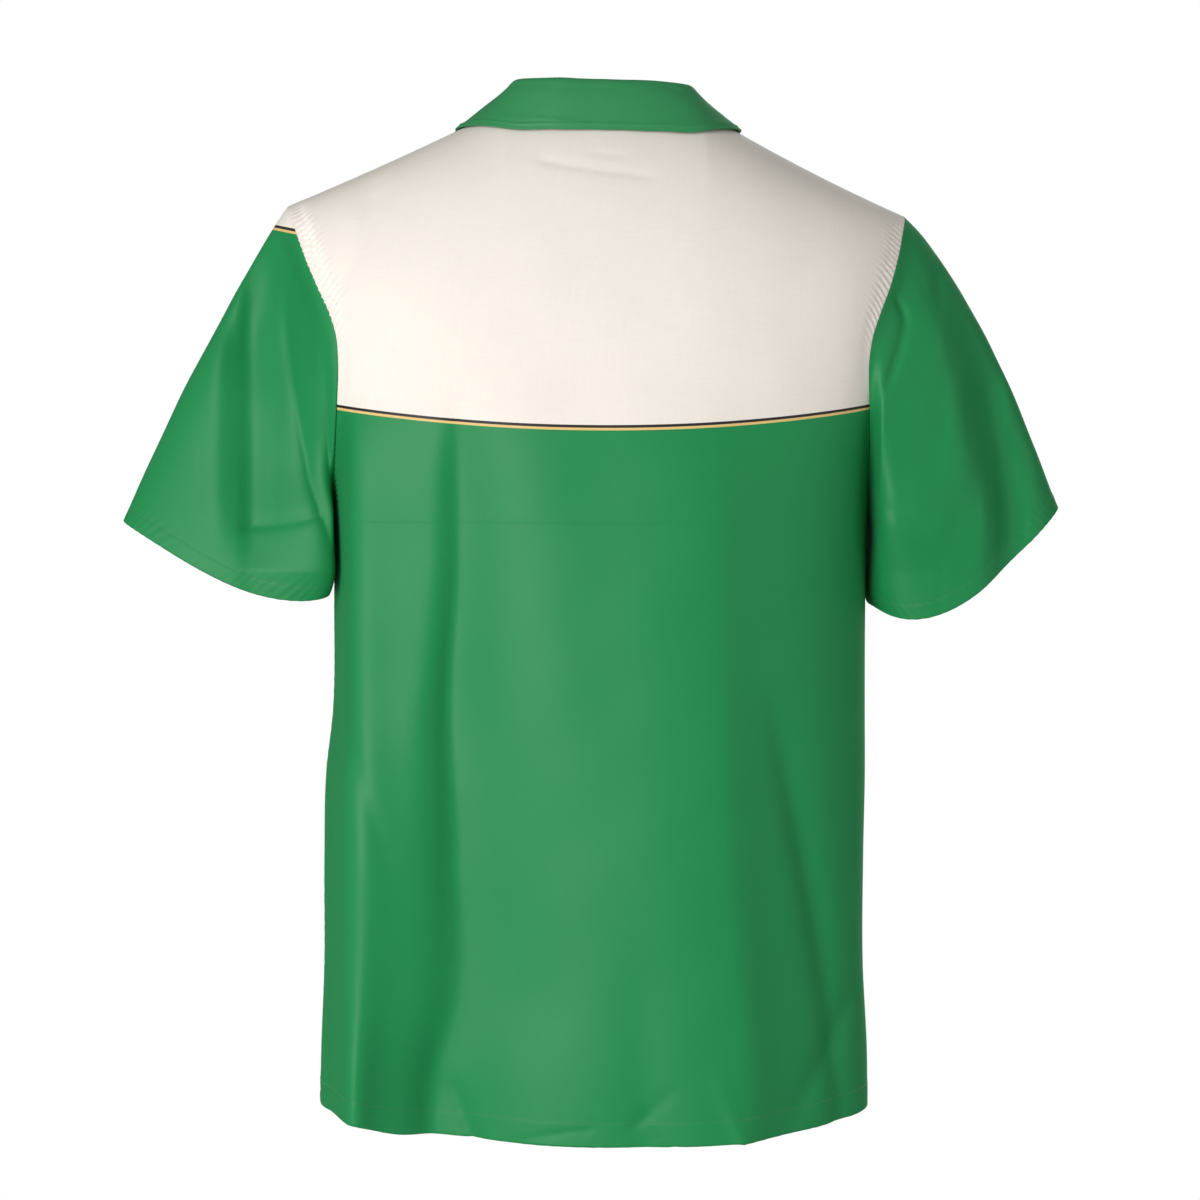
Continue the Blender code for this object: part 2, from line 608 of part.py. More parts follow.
def lap_lift(x):
    """How far the upper front stands off over the lower one."""
    return LAP_LIFT * ease(-x, -LAP - LAP_SLOPE, -LAP)


def fold_panel(name, grid, inward, sides, inner_free):
    """Push a panel's folds out along its normals and turn its wall to suit."""
    push = fold_push(name, grid[..., 0], grid[..., 2]) * panel_fade(grid, sides, inner_free)
    folded = grid + push[..., None] * unit(-inward)
    change = normals_of(folded) - normals_of(grid)
    sign = np.sign(np.sum(normals_of(grid) * -inward, axis=-1, keepdims=True))
    turned = unit(unit(-inward) + change * sign * (push != 0)[..., None])
    length = np.linalg.norm(inward, axis=-1, keepdims=True)
    return folded, -length * turned


def bezier(a, b, c, d, t):
    """Points of a cubic curve with its four control points."""
    return (1 - t) ** 3 * a + 3 * t * (1 - t) ** 2 * b + 3 * t * t * (1 - t) * c + t ** 3 * d


def build_collar(back, back_in, edges):
    """Stand and fall in one, sewn to the back neck and to the fronts down to the gorge."""
    centre = NECK_COLUMNS + SHOULDER_COLUMNS
    seam = []
    seam_in = []
    part = []
    gorge = LAPEL_COLUMNS - GORGE_COLUMNS
    left, left_in = edges[1]
    right, right_in = edges[-1]
    for index in range(gorge, LAPEL_COLUMNS):
        seam.append(right[-1, index])
        seam_in.append(right_in[-1, index])
        part.append(-1 + (1 - CORNER_PART) * (index - gorge) / GORGE_COLUMNS)
    for index in range(centre - NECK_COLUMNS, centre + NECK_COLUMNS + 1):
        seam.append(back[-1, index])
        seam_in.append(back_in[-1, index])
        part.append(CORNER_PART * (index - centre) / NECK_COLUMNS)
    for index in range(LAPEL_COLUMNS - 1, gorge - 1, -1):
        seam.append(left[-1, index])
        seam_in.append(left_in[-1, index])
        part.append(1 - (1 - CORNER_PART) * (index - gorge) / GORGE_COLUMNS)
    seam = np.array(seam)
    seam_in = np.array(seam_in)
    part = np.array(part)
    # each neck corner is drawn back with the shoulder seam, so it is set back on the ridge
    corner = np.isclose(np.abs(part), CORNER_PART)
    seam[corner, 1] = 0.0

    away = np.abs(part)
    knots = column(COLLAR, COLLAR_COLUMNS, "part")
    value = {name: smooth_curve(away, knots, column(COLLAR, COLLAR_COLUMNS, name))
             for name in COLLAR_COLUMNS}
    level = -seam_in * np.array([1.0, 1.0, 0.0])
    level = unit(level)
    seam_along = unit(np.gradient(seam, axis=0))
    off = unit(np.cross(seam_in, seam_along))
    off = off * np.sign(off[:, 2:])
    up = np.array([0.0, 0.0, 1.0])
    stand = value["stand"][:, None]
    turn = value["turn"][:, None]
    start = seam + SEAM_GAP * off
    flat = ease(away, FLAT_PART, 1.0)[:, None]
    roll = start + stand * up - value["lean"][:, None] * level + flat * LAPEL_ROLL * (off + level)
    edge_x = np.where(part < 0, -value["edge_right"], value["edge_left"])
    edge_z = value["edge_z"] + COLLAR_TILT * edge_x
    edge = np.stack([edge_x, value["edge_y"], edge_z], axis=-1)
    edge = set_on_trunk(edge, COLLAR_LIFT, False)

    rise = unit(off + stand / FALL_HANDLE * up) * RISE_HANDLE * (stand + LAPEL_ROLL)
    fall_way = unit(edge - roll - turn * level)
    rows = []
    for t in COLLAR_SECTION:
        if t <= 1:
            rows.append(bezier(start, start + rise, roll - INNER_TURN * turn * level, roll, t))
        else:
            point = bezier(roll, roll + turn * level, edge - FALL_HANDLE * fall_way, edge, t - 1)
            dip = min(2 * (t - 1), 2 * (2 - t)) * NOTCH * ease(away, GORGE_PART, 1.0)
            rows.append(point - dip[:, None] * up)
    grid = np.array(rows)
    fall = np.array(COLLAR_SECTION) >= FALL_START
    grid[fall] = set_on_trunk(grid[fall], COLLAR_LIFT, True)
    normals = normals_of(grid)
    flip = np.sign(np.sum(normals[0, centre] * -seam_in[centre]))
    thick = np.interp(COLLAR_SECTION, (0.0, DOUBLED), (WALL, COLLAR_WALL))
    wall_in = -normals * flip * thick[:, None, None]
    wall_in[0] = seam_in
    finish(mesh_object("collar", grid, wall_in), "collar")


def build_facing(hand, front, front_in):
    """The turned-back lapel: the front's edge carried on, turned outward and laid on the front."""
    gorge = LAPEL_COLUMNS - GORGE_COLUMNS
    stop = 0 if hand > 0 else RIGHT_LAPEL_END
    take = slice(stop, gorge + 1)
    seam = front[-1, take][::-1]
    seam_in = front_in[-1, take][::-1]
    out = unit(-seam_in)
    along = unit(np.gradient(seam, axis=0))
    off = unit(np.cross(out, along))
    off = off * np.where(off[:, :1] * hand > 0, -1.0, 1.0)
    part = np.linspace(0.0, 1.0, len(seam))
    knots = column(LAPELS, LAPEL_TABLE, "part")
    edge_x = smooth_curve(part, knots, column(LAPELS, LAPEL_TABLE, "edge_x"))
    edge_z = smooth_curve(part, knots, column(LAPELS, LAPEL_TABLE, "edge_z"))
    if stop:
        edge_x += (hand * seam[-1, 0] + RIGHT_LAPEL_OUT - edge_x[-1]) * part ** 2
        edge_z += (seam[-1, 2] - RIGHT_LAPEL_DROP - edge_z[-1]) * part ** 2

    seam = seam + SEAM_GAP * off
    seam[0] += LAPEL_STEP * along[0]
    rows = [seam]
    for angle in LAPEL_TURN:
        turn = math.radians(angle)
        rows.append(seam + LAPEL_ROLL * (math.sin(turn) * off + (1 - math.cos(turn)) * out))
    for b in np.linspace(0.0, 1.0, LAPEL_ROWS):
        x = seam[:, 0] + (hand * edge_x - seam[:, 0]) * b
        z = seam[:, 2] + (edge_z - seam[:, 2]) * b
        lift = 2 * LAPEL_ROLL + (LAPEL_LIFT - 2 * LAPEL_ROLL) * ease(b, 0.0, LAPEL_SETTLE)
        raised = lap_lift(x) if hand > 0 else 0.0
        y = trunk_y(x, z, -1) - lift - raised
        rows.append(np.stack([x, y, z], axis=-1))
    grid = np.array(rows)
    normals = normals_of(grid)
    flip = np.sign(np.sum(normals[0, 1] * out[1]))
    thick = np.interp(np.arange(len(grid)), (0, len(LAPEL_TURN)), (WALL, COLLAR_WALL))
    wall_in = -normals * flip * thick[:, None, None]
    wall_in[0] = seam_in
    name = "facing_left" if hand > 0 else "facing_right"
    finish(mesh_object(name, grid, wall_in), name)


def build_buttons(front):
    """Four-holed buttons down the centre front, each laid on the upper front's outer face."""
    for number, height in enumerate(BUTTON_HEIGHTS, start=1):
        nearest = np.argmin(np.hypot(front[..., 0], front[..., 2] - height))
        column_points = front[:, nearest % front.shape[1]]
        order = np.argsort(column_points[:, 2])
        y = np.interp(height, column_points[order, 2], column_points[order, 1])
        bpy.ops.mesh.primitive_cylinder_add(
            vertices=BUTTON_SIDES, radius=BUTTON_RADIUS * MM, depth=BUTTON_THICKNESS * MM)
        button = bpy.context.object
        button.name = f"button_{number}"
        bevel = button.modifiers.new("Edge", "BEVEL")
        bevel.width = BUTTON_EDGE * MM
        bevel.segments = 2
        bevel.limit_method = "ANGLE"
        for corner in range(4):
            turn = math.radians(45 + 90 * corner)
            spread = BUTTON_HOLE_SPREAD * MM
            bpy.ops.mesh.primitive_cylinder_add(
                vertices=HOLE_SIDES, radius=BUTTON_HOLE_RADIUS * MM, depth=3 * BUTTON_THICKNESS * MM,
                location=(spread * math.cos(turn), spread * math.sin(turn), 0.0))
            cutter = bpy.context.object
            cutter.name = f"hole_{number}_{corner}"
            cutter.hide_render = True
            cutter.display_type = "WIRE"
            cutter.parent = button
            hole = button.modifiers.new(f"Hole {corner}", "BOOLEAN")
            hole.operation = "DIFFERENCE"
            hole.object = cutter
        button.location = (0.0, (y - BUTTON_REST - BUTTON_THICKNESS / 2) * MM, height * MM)
        button.rotation_euler = (math.radians(90), 0.0, 0.0)
        finish(button, "button")


def build_shirt():
    """The whole shirt in an empty scene."""
    for thing in list(bpy.data.objects):
        bpy.data.objects.remove(thing)
    back, back_in, edges = build_trunk()
    build_collar(back, back_in, edges)
    for hand in (1, -1):
        build_facing(hand, *edges[hand])
    build_buttons(edges[1][0])


build_shirt()
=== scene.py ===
import math

import bpy
import numpy as np
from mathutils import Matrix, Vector


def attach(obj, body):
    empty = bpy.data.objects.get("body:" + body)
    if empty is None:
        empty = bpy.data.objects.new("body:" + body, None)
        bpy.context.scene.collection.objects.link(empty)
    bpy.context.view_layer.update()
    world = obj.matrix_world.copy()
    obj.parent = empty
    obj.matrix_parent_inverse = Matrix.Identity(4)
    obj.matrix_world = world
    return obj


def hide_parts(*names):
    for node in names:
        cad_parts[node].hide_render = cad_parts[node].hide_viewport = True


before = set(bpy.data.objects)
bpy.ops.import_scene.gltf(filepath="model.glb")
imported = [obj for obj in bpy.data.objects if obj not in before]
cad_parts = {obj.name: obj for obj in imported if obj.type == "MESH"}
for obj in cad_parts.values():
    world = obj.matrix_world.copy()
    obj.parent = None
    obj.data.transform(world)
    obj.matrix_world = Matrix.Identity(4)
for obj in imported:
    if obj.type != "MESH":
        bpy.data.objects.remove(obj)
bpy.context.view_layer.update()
millimetre = 0.001  # the tables are in millimetres and the meshes in metres
tau = 2 * math.pi
tiny = 1e-6
upward = np.array([0.0, 0.0, 1.0])
columnAt = {"first": 0, "last": -1}
print("frame loaded:", len(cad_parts), "nodes")


# arithmetic that every piece uses

def named(columns, rows):
    # a table's columns as arrays, by name
    return dict(zip(columns.split(), np.array(rows, dtype=float).T))


def sided(name, hand):
    return name + ("Left" if hand > 0 else "Right")


def hermite(a, leave, b, arrive, t):
    # cubic from a to b with a slope given at each
    return ((1 + 2 * t) * (1 - t) ** 2 * a + t * (1 - t) ** 2 * leave
            + t * t * (3 - 2 * t) * b + t * t * (t - 1) * arrive)


def smoothCurve(at, knots, values):
    # cubic through the knots, its slope at each the mean of the two beside it
    slopes = np.gradient(values, knots)
    place = np.clip(np.searchsorted(knots, at) - 1, 0, len(knots) - 2)
    width = knots[place + 1] - knots[place]
    return hermite(values[place], width * slopes[place], values[place + 1], width * slopes[place + 1],
                   (at - knots[place]) / width)


def curves(at, table):
    # each column of a table as a smooth curve over its first
    first, *others = table
    return {key: smoothCurve(at, table[first], table[key]) for key in others}


def ease(at, start, end):
    # smooth step from 0 at start to 1 at end
    t = np.clip((at - start) / (end - start), 0.0, 1.0)
    return t * t * (3 - 2 * t)


def bell(at, width):
    # 1 at 0, falling as the exponential of minus the square
    return np.exp(-(at / width) ** 2)


def unit(vectors):
    return vectors / np.maximum(np.linalg.norm(vectors, axis=-1, keepdims=True), tiny)


def stretches(*parts):
    # places from 0 up, where each part is (where it ends, how many steps it takes)
    places = np.zeros(1)
    for end, count in parts:
        places = np.append(places, np.linspace(places[-1], end, count + 1)[1:])
    return places


def bezier(a, b, c, d, t):
    # cubic curve with four control points
    return (1 - t) ** 3 * a + 3 * t * (1 - t) ** 2 * b + 3 * t * t * (1 - t) * c + t ** 3 * d


def lengthAlong(grid, axis, fromEnd=False):
    # distance run over a grid from its first row or column, or from its last
    if fromEnd:
        return np.flip(lengthAlong(np.flip(grid, axis), axis), axis)
    gaps = np.linalg.norm(np.diff(grid, axis=axis), axis=-1)
    return np.concatenate([0 * np.take(gaps, [0], axis=axis), np.cumsum(gaps, axis=axis)], axis=axis)


def normalsOf(grid, closed=False):
    # cross product of the differences both ways; closed joins the last column to the first
    if closed:
        wide = np.concatenate([grid[:, -1:], grid, grid[:, :1]], axis=1)
        across = np.gradient(wide, axis=1)[:, 1:-1]
    else:
        across = np.gradient(grid, axis=1)
    return unit(np.cross(across, np.gradient(grid, axis=0)))


# folds and seams, each as a distance that the cloth moves out

def foldProfile(at, roundness):
    # 1 on the fold's line, falling to 0 beside it: a bell where it is round, a peak where it isn't
    return np.exp(-(1 + 2 * roundness) * (np.hypot(at, roundness) - roundness))


def uprightFold(*stations, roundness=0.6):
    # stations of height, place, widths on its +X and -X side, and depth, from the top down
    return named("height place plus minus depth", sorted(stations)), roundness


def drapePush(x, z, fold):
    # upright fold: its place, the widths of its two sides and its depth each run smoothly over height
    table, roundness = fold
    at = curves(z, table)
    aside = x - at["place"]
    inside = (z > table["height"][0]) & (z < table["height"][-1])
    width = np.maximum(np.where(aside > 0, at["plus"], at["minus"]), 2.0)
    return np.where(inside, at["depth"] * foldProfile(aside / width, roundness), 0.0)


def creases(*rows):
    return named("x0 z0 x1 z1 bow plus minus roundness start end", rows)


def creasePush(x, z, table):
    # slanting folds: each follows a straight line bowed aside in the middle, its two sides have their
    # own widths, its depth runs from start to end, and it dies away past both its ends
    push = np.zeros_like(x)
    for x0, z0, x1, z1, bow, plus, minus, roundness, start, end in zip(*table.values()):
        length = math.hypot(x1 - x0, z1 - z0)
        wayX, wayZ = (x1 - x0) / length, (z1 - z0) / length
        run = ((x - x0) * wayX + (z - z0) * wayZ) / length
        part = np.clip(run, 0.0, 1.0)
        aside = (z - z0) * wayX - (x - x0) * wayZ - bow * 4 * part * (1 - part)
        width = np.where(aside > 0, plus, minus)
        past = (run - part) * length / (plus + minus)
        push += (start + (end - start) * part) * foldProfile(aside / width, roundness) * bell(past, 1.0)
    return push


def depths(*rows):
    # the first row has places across after a 0, and each other row a height and the depth at each place
    table = np.array(rows, dtype=float)
    return table[0, 1:], table[1:, 0], table[1:, 1:]


def depthPush(across, height, table):
    # a smooth curve both ways through depths given at places across for a few heights
    places, heights, given = table
    across = np.clip(across, places[0], places[-1])
    height = np.clip(height, heights[0], heights[-1])
    return sum(smoothCurve(height, heights, share) * smoothCurve(across, places, row)
               for share, row in zip(np.eye(len(heights)), given))


waves = (  # strength, then the length across and down and the start of each of two sines
    (1, 31, 83, 1.3, -140, 57, 0),
    (0.6, 17, -61, 0.4, math.inf, 39, 2.1),
    (0.35, 11, 29, 0, -53, 23, 0.9),
)


def unevenness(x, z, size):
    # slow waves whose lengths share no factor, as in cloth that has hung for a while
    return size * sum(strength * np.sin(x / a + z / b + start) * np.sin(x / c + z / d + start2)
                      for strength, a, b, start, c, d, start2 in waves)


gathers = {
    "stray": (1.7, 1.1), "strayOver": (19, 7.3),  # how far puckers stray, and over what lengths
    "least": 0.55, "vary": 0.45, "varyOver": (27, 13), "varyBend": 0.7,
    "layerEnd": 1.5, "from": 1.2,  # where the layers stop, and puckers start
}


def bands(*rows):
    # what seamBand reads, for each named line of stitches
    keys = "rise stitch sink groove pitch slant start pucker reach".split()
    return {name: dict(zip(keys, row)) for name, *row in rows}


def seamBand(distance, along, band):
    # cloth beside a line of stitches: raised as far as the layers under it reach, drawn in along the
    # stitches, and gathered in small slanting puckers whose pitch and depth wander along the seam
    past, start = distance - band["stitch"], band["start"]
    (stray, stray2), (over, over2) = gathers["stray"], gathers["strayOver"]
    varyOver, bendOver = gathers["varyOver"]
    rise = band["rise"] * (1 - ease(past, 0.0, gathers["layerEnd"]))
    groove = -band["sink"] * bell(past, band["groove"])
    phase = (along + band["slant"] * distance) * tau / band["pitch"]
    wander = stray * np.sin(along / over + start) + stray2 * np.sin(along / over2 + 1)
    bend = gathers["varyBend"] * np.sin(along / bendOver + start)
    strength = gathers["least"] + gathers["vary"] * np.sin(along / varyOver + bend)
    reach = ease(distance, 0.0, gathers["from"]) * bell(np.maximum(past, 0), band["reach"])
    return rise + groove + band["pucker"] * np.sin(phase + wander) * strength * reach


# the trunk's shape: level sections, the armhole's edge seen from behind, and the shoulders

trunk = {
    "power": 2.4,  # how square the sections are, 2 is an ellipse
    "ratio": 0.58,  # their depth to their half width, where the columns are spaced
    "underarm": -290.0,
    "archBase": -170.0,  # the trunk starts to close towards the shoulders here
    "archPower": 2.2,
    "neckHalf": 72.0,
    "neckPoint": 9.5,  # height of the shoulder seams where they meet the collar
    "neckRise": 12.0,
    "fall": (0.498, 0.590),  # slope of the left and right shoulder beside the neck
    "flatten": (0.00027, 0.00053),
    "rings": named("height half back front centre", [
        (-745, 204.5, 110, 104, 4.2), (-690, 203.8, 112, 106, 4.1), (-620, 200.6, 114, 108, 4.5),
        (-540, 200.4, 116, 110, 4.3), (-478, 200, 117, 112, 3), (-434, 197.3, 117, 113, 0.6),
        (-360, 196.6, 117, 115, 0), (-290, 197.5, 117, 116, 0), (-250, 201.5, 116, 116, 0),
        (-190, 216, 114, 114, 0), (-100, 240, 110, 110, 0), (0, 262, 104, 104, 0),
        (40, 268, 100, 100, 0)]),
    "armhole": named("height left right", [
        (-290, 197.5, 197.5), (-240, 195.3, 194.6), (-200, 193.6, 191.8), (-175, 192.9, 190.8),
        (-157, 194.2, 193.4), (-140, 199, 199.4), (-122, 207.2, 207), (-100, 216.4, 214.5),
        (-80, 223.5, 220.5), (-69, 227.4, 224.3), (-61, 229, 224.5), (-50, 229, 224.5),
        (40, 229, 224.5)]),
    "upperSteps": (0.9, 160, 32),  # rows from the underarm up: evenly to a part, then closer
    "lowerSteps": ((0.05, 16), (1.0, 100)),
    "settle": 1.5,  # how late the upper columns turn to their places on top
    "samples": 2000,
    "cornerAt": 0.9, "cornerWidth": 0.12,  # the left hem is cut higher at this part of its half width
}
underarmRow = sum(count for end, count in trunk["lowerSteps"])


def ringValue(key, z):
    return smoothCurve(z, trunk["rings"]["height"], trunk["rings"][key])


def armholeHalf(z, hand):
    return curves(z, trunk["armhole"])["left" if hand > 0 else "right"]


def ridgeHeight(x):
    # the shoulders fall and ease off as they go out, and a parabola carries them across the neck
    out = np.abs(x) - trunk["neckHalf"]
    left = x > 0
    shoulder = (trunk["neckPoint"] - np.where(left, *trunk["fall"]) * out
                + np.where(left, *trunk["flatten"]) * out ** 2)
    neck = trunk["neckPoint"] + trunk["neckRise"] * (1 - (x / trunk["neckHalf"]) ** 2)
    return np.where(out > 0, shoulder, neck)


def sectionDepth(x, z, face):
    # superellipse: full depth times (1 - across^power)^(1/power)
    across = np.clip(np.abs(x - ringValue("centre", z)) / ringValue("half", z), 0.0, 1.0)
    depth = ringValue("back" if face > 0 else "front", z)
    return depth * (1 - across ** trunk["power"]) ** (1 / trunk["power"])


def trunkY(x, z, face):
    # the section's depth, closed by another superellipse between the arch's base and the ridge
    rise = np.clip((z - trunk["archBase"]) / (ridgeHeight(x) - trunk["archBase"]), 0.0, 1.0)
    return face * sectionDepth(x, z, face) * (1 - rise ** trunk["archPower"]) ** (1 / trunk["archPower"])


def setOnTrunk(points, clearance, onlyOutward):
    # move points away from the arch's middle until they stand the clearance off the trunk
    x, y, z = points[..., 0], points[..., 1], points[..., 2]
    base, power = trunk["archBase"], trunk["archPower"]
    depth = np.where(y > 0, sectionDepth(x, z, 1), sectionDepth(x, z, -1))
    rise = np.maximum(z - base, 0.0) / (ridgeHeight(x) - base)
    reach = ((np.abs(y) / depth) ** power + rise ** power) ** (1 / power)
    factor = 1 / reach + clearance / np.hypot(y, z - base)
    if onlyOutward:
        factor = np.maximum(factor, 1.0)
    lifted = np.where(z > base, base + (z - base) * factor, z)
    return np.stack([x, y * factor, lifted], axis=-1)


def sectionPlaces(inner, parts):
    # places across a section, -1 to 1, at the given parts of its length from the inner edge out
    power = trunk["power"]
    start = math.asin(math.copysign(abs(inner) ** (power / 2), inner))
    angle = np.linspace(start, math.pi / 2, trunk["samples"])
    across = np.sign(angle) * np.abs(np.sin(angle)) ** (2 / power)
    deep = trunk["ratio"] * np.abs(np.cos(angle)) ** (2 / power)
    length = np.append(0.0, np.cumsum(np.hypot(np.diff(across), np.diff(deep))))
    turn = np.interp(parts * length[-1], length, angle)
    return np.sign(turn) * np.abs(np.sin(turn)) ** (2 / power)


def upperPlaces():
    # parts of the half turn whose cosine gives the climb from the underarm
    evenEnd, evenCount, lastCount = trunk["upperSteps"]
    even = np.arccos(1 - 2 * np.linspace(0, evenEnd, evenCount + 1)) / math.pi
    return np.append(even, np.linspace(even[-1], 1.0, lastCount + 1)[1:])[:, None]


def panelForm(hand, face, panel):
    # one half of the trunk from its inner edge to its side. Below the underarm the columns keep their
    # parts of the level sections; above it they turn smoothly to their places on the neck and shoulder
    inner, corner, parts = panel["inner"], panel["corner"], stretches(*panel["across"])
    neckHalf, neckPoint, underarm = trunk["neckHalf"], trunk["neckPoint"], trunk["underarm"]
    half = armholeHalf(underarm, hand)
    tip = armholeHalf(0.0, hand)
    across = sectionPlaces(inner / half, parts)
    onNeck = parts <= corner + tiny
    along = np.clip(parts / corner, 0.0, 1.0)
    if face > 0:
        neckX = neckHalf * np.sin(along * math.pi / 2)
        neckZ = ridgeHeight(neckX) - (neckPoint + trunk["neckRise"]) * np.cos(along * math.pi / 2)
    else:
        neckX = neckHalf - (neckHalf - inner) * (1 - along) ** (1 / panel["roll"])
        neckZ = neckPoint + (panel["break"] - neckPoint) * (1 - along)
    shoulderX = neckHalf + (tip - neckHalf) * (parts - corner) / (1 - corner)
    topX = np.where(onNeck, neckX, shoulderX)
    topZ = np.where(onNeck, neckZ, ridgeHeight(hand * topX))

    hem = panel["hem"] + panel["hemRise"] * across ** 2
    if hand > 0:
        hem = hem + panel["hemCorner"] * bell(across - trunk["cornerAt"], trunk["cornerWidth"])
    down = stretches(*trunk["lowerSteps"])[:-1, None]
    lowZ = hem + down * (underarm - hem)
    lowX = ringValue("half", lowZ) * across + hand * ringValue("centre", lowZ)
    turn = upperPlaces()
    highZ = underarm + (0.5 - 0.5 * np.cos(math.pi * turn)) * (topZ - underarm)
    side = armholeHalf(highZ, hand)
    lowPart = (half * across - inner) / (half - inner)
    topPart = (topX - inner) / (tip - inner)
    narrowing = 1 + ((side - inner) / (tip - inner) - 1) * topPart ** 4
    blend = ease(turn, 0.0, 1.0) ** trunk["settle"]
    highX = inner + (1 - blend) * (side - inner) * lowPart + blend * (tip - inner) * topPart * narrowing

    x = hand * np.vstack([lowX, highX])
    z = np.vstack([lowZ, highZ])
    grid = np.stack([x, trunkY(x, z, face), z], axis=-1)
    grid[-1, parts > corner - tiny, 1] = 0.0
    return grid


def panelNormals(grid, hand, face, panel):
    # outward normals of a half panel, made exact where it meets its neighbours
    normals = normalsOf(grid) * (-hand * face)
    low = grid[:underarmRow + 1, -1, 2]
    lean = np.gradient(ringValue("half", low), low)
    normals[:underarmRow + 1, -1] = unit(np.stack([hand + 0 * lean, 0 * lean, -lean], axis=-1))
    onRidge = stretches(*panel["across"]) > panel["corner"] - tiny
    x = grid[-1, onRidge, 0]
    slope = np.gradient(ridgeHeight(x), x)
    normals[-1, onRidge] = unit(np.stack([-slope, 0 * slope, 1 + 0 * slope], axis=-1))
    return normals


# closed pieces of cloth, and stitches

cloth = {
    "wall": 0.9,  # shirting
    "collarWall": 1.5,  # two layers with interlining
    "edgeRound": 0.35,  # how far a cut or folded edge bulges, to the wall
    "seamDraw": 0.32,  # each side of a seam, from its line to the edge
}


def linked(name, data):
    thing = bpy.data.objects.new(name, data)
    bpy.context.collection.objects.link(thing)
    return thing


def clothPiece(name, outer, inner, materials, closed=False):
    # two skins a wall apart, joined round their borders by a row of points that rounds the edge.
    # The map is the distance run along the rows and columns, in metres
    rows, columns = outer.shape[:2]
    wide = np.concatenate([outer, outer[:, :1]], axis=1) if closed else outer
    uv = np.stack([lengthAlong(wide, 1), lengthAlong(wide, 0)], axis=-1).reshape(-1, 2) * millimetre
    span = wide.shape[1]
    row, place = np.meshgrid(np.arange(rows - 1), np.arange(span - 1), indexing="ij")
    corners = [(row, place), (row, place + 1), (row + 1, place + 1), (row + 1, place)]
    skin = np.stack([r * columns + c % columns for r, c in corners], axis=-1).reshape(-1, 4)
    skinUv = np.stack([r * span + c for r, c in corners], axis=-1).reshape(-1, 4)

    away = np.zeros_like(outer)
    away[0] += unit(outer[0] - outer[1])
    away[-1] += unit(outer[-1] - outer[-2])
    if not closed:
        away[:, 0] += unit(outer[:, 0] - outer[:, 1])
        away[:, -1] += unit(outer[:, -1] - outer[:, -2])
    wall = np.linalg.norm(outer - inner, axis=-1, keepdims=True)
    middle = ((outer + inner) / 2 + cloth["edgeRound"] * wall * unit(away)).reshape(-1, 3)

    count = rows * columns
    number = np.arange(rows)[:, None] * span + np.arange(span)
    if closed:
        borders = [number[0], number[-1, ::-1]]
    else:
        borders = [np.concatenate([number[0], number[1:, -1], number[-1, -2::-1], number[-2::-1, 0]])]
    points = [outer.reshape(-1, 3), inner.reshape(-1, 3)]
    faces, faceUv = [skin, skin[:, ::-1] + count], [skinUv, skinUv[:, ::-1]]
    for border in borders:
        edge = border // span * columns + border % span % columns
        base = sum(len(p) for p in points)
        points.append(middle[edge[:-1]])
        rim = base + np.append(np.arange(len(edge) - 1), 0)
        for near, far in ((edge, rim), (rim, edge + count)):
            faces.append(np.stack([near[1:], near[:-1], far[:-1], far[1:]], axis=-1))
            faceUv.append(np.stack([border[1:], border[:-1], border[:-1], border[1:]], axis=-1))
    points, faces, faceUv = np.concatenate(points), np.concatenate(faces), np.concatenate(faceUv)

    p = points[faces]
    volume = np.einsum("ij,ij->i", p[:, 0], np.cross(p[:, 1], p[:, 2]) + np.cross(p[:, 2], p[:, 3])).sum()
    if volume < 0:
        faces, faceUv = faces[:, ::-1], faceUv[:, ::-1]
    mesh = bpy.data.meshes.new(name)
    mesh.from_pydata((points * millimetre).tolist(), [], faces.tolist())
    mesh.uv_layers.new(name="cut").data.foreach_set("uv", uv[faceUv.ravel()].ravel())
    inside = np.zeros(len(faces), dtype=np.int32)
    inside[len(skin):2 * len(skin)] = 1
    mesh.polygons.foreach_set("material_index", inside)
    mesh.shade_smooth()
    for material in materials:
        mesh.materials.append(material)
    return linked(name, mesh)


def fromEdge(grid, edge):
    # a view of a grid in which one of its edges is the first column
    return {"hem": grid.swapaxes(0, 1), "top": grid[::-1].swapaxes(0, 1), "first": grid,
            "last": grid[:, ::-1]}[edge]


def drawBack(grid, edge, amount):
    # an edge's points moved back into the cloth
    moved = grid.copy()
    turned = fromEdge(moved, edge)
    turned[:, 0] += amount * unit(turned[:, 1] - turned[:, 0])
    return moved


def lineInside(grid, edge, distance):
    # points of a grid that lie a distance in from one of its edges, measured along the cloth
    turned = fromEdge(grid, edge)
    run = lengthAlong(turned, 1)
    at = np.clip((run < distance).sum(axis=1) - 1, 0, turned.shape[1] - 2)[:, None]
    near, far = (np.take_along_axis(run, at + step, 1) for step in (0, 1))
    a, b = (np.take_along_axis(turned, at[..., None] + step, 1) for step in (0, 1))
    part = ((distance - near) / np.maximum(far - near, tiny))[..., None]
    return (a + part * (b - a))[:, 0]


stitch = {
    "length": 2.1, "gap": 0.7, "width": 0.42, "height": 0.3, "sides": 6,
    "ends": np.array([-1.0, -0.8, 0.0, 0.8, 1.0]), "sizes": np.array([0.25, 0.75, 1.0, 0.75, 0.25]),
    "lift": 0.12, "bend": 0.22,  # height of its middle, and how far its ends go down from there
    "normalIn": 2.0,
}


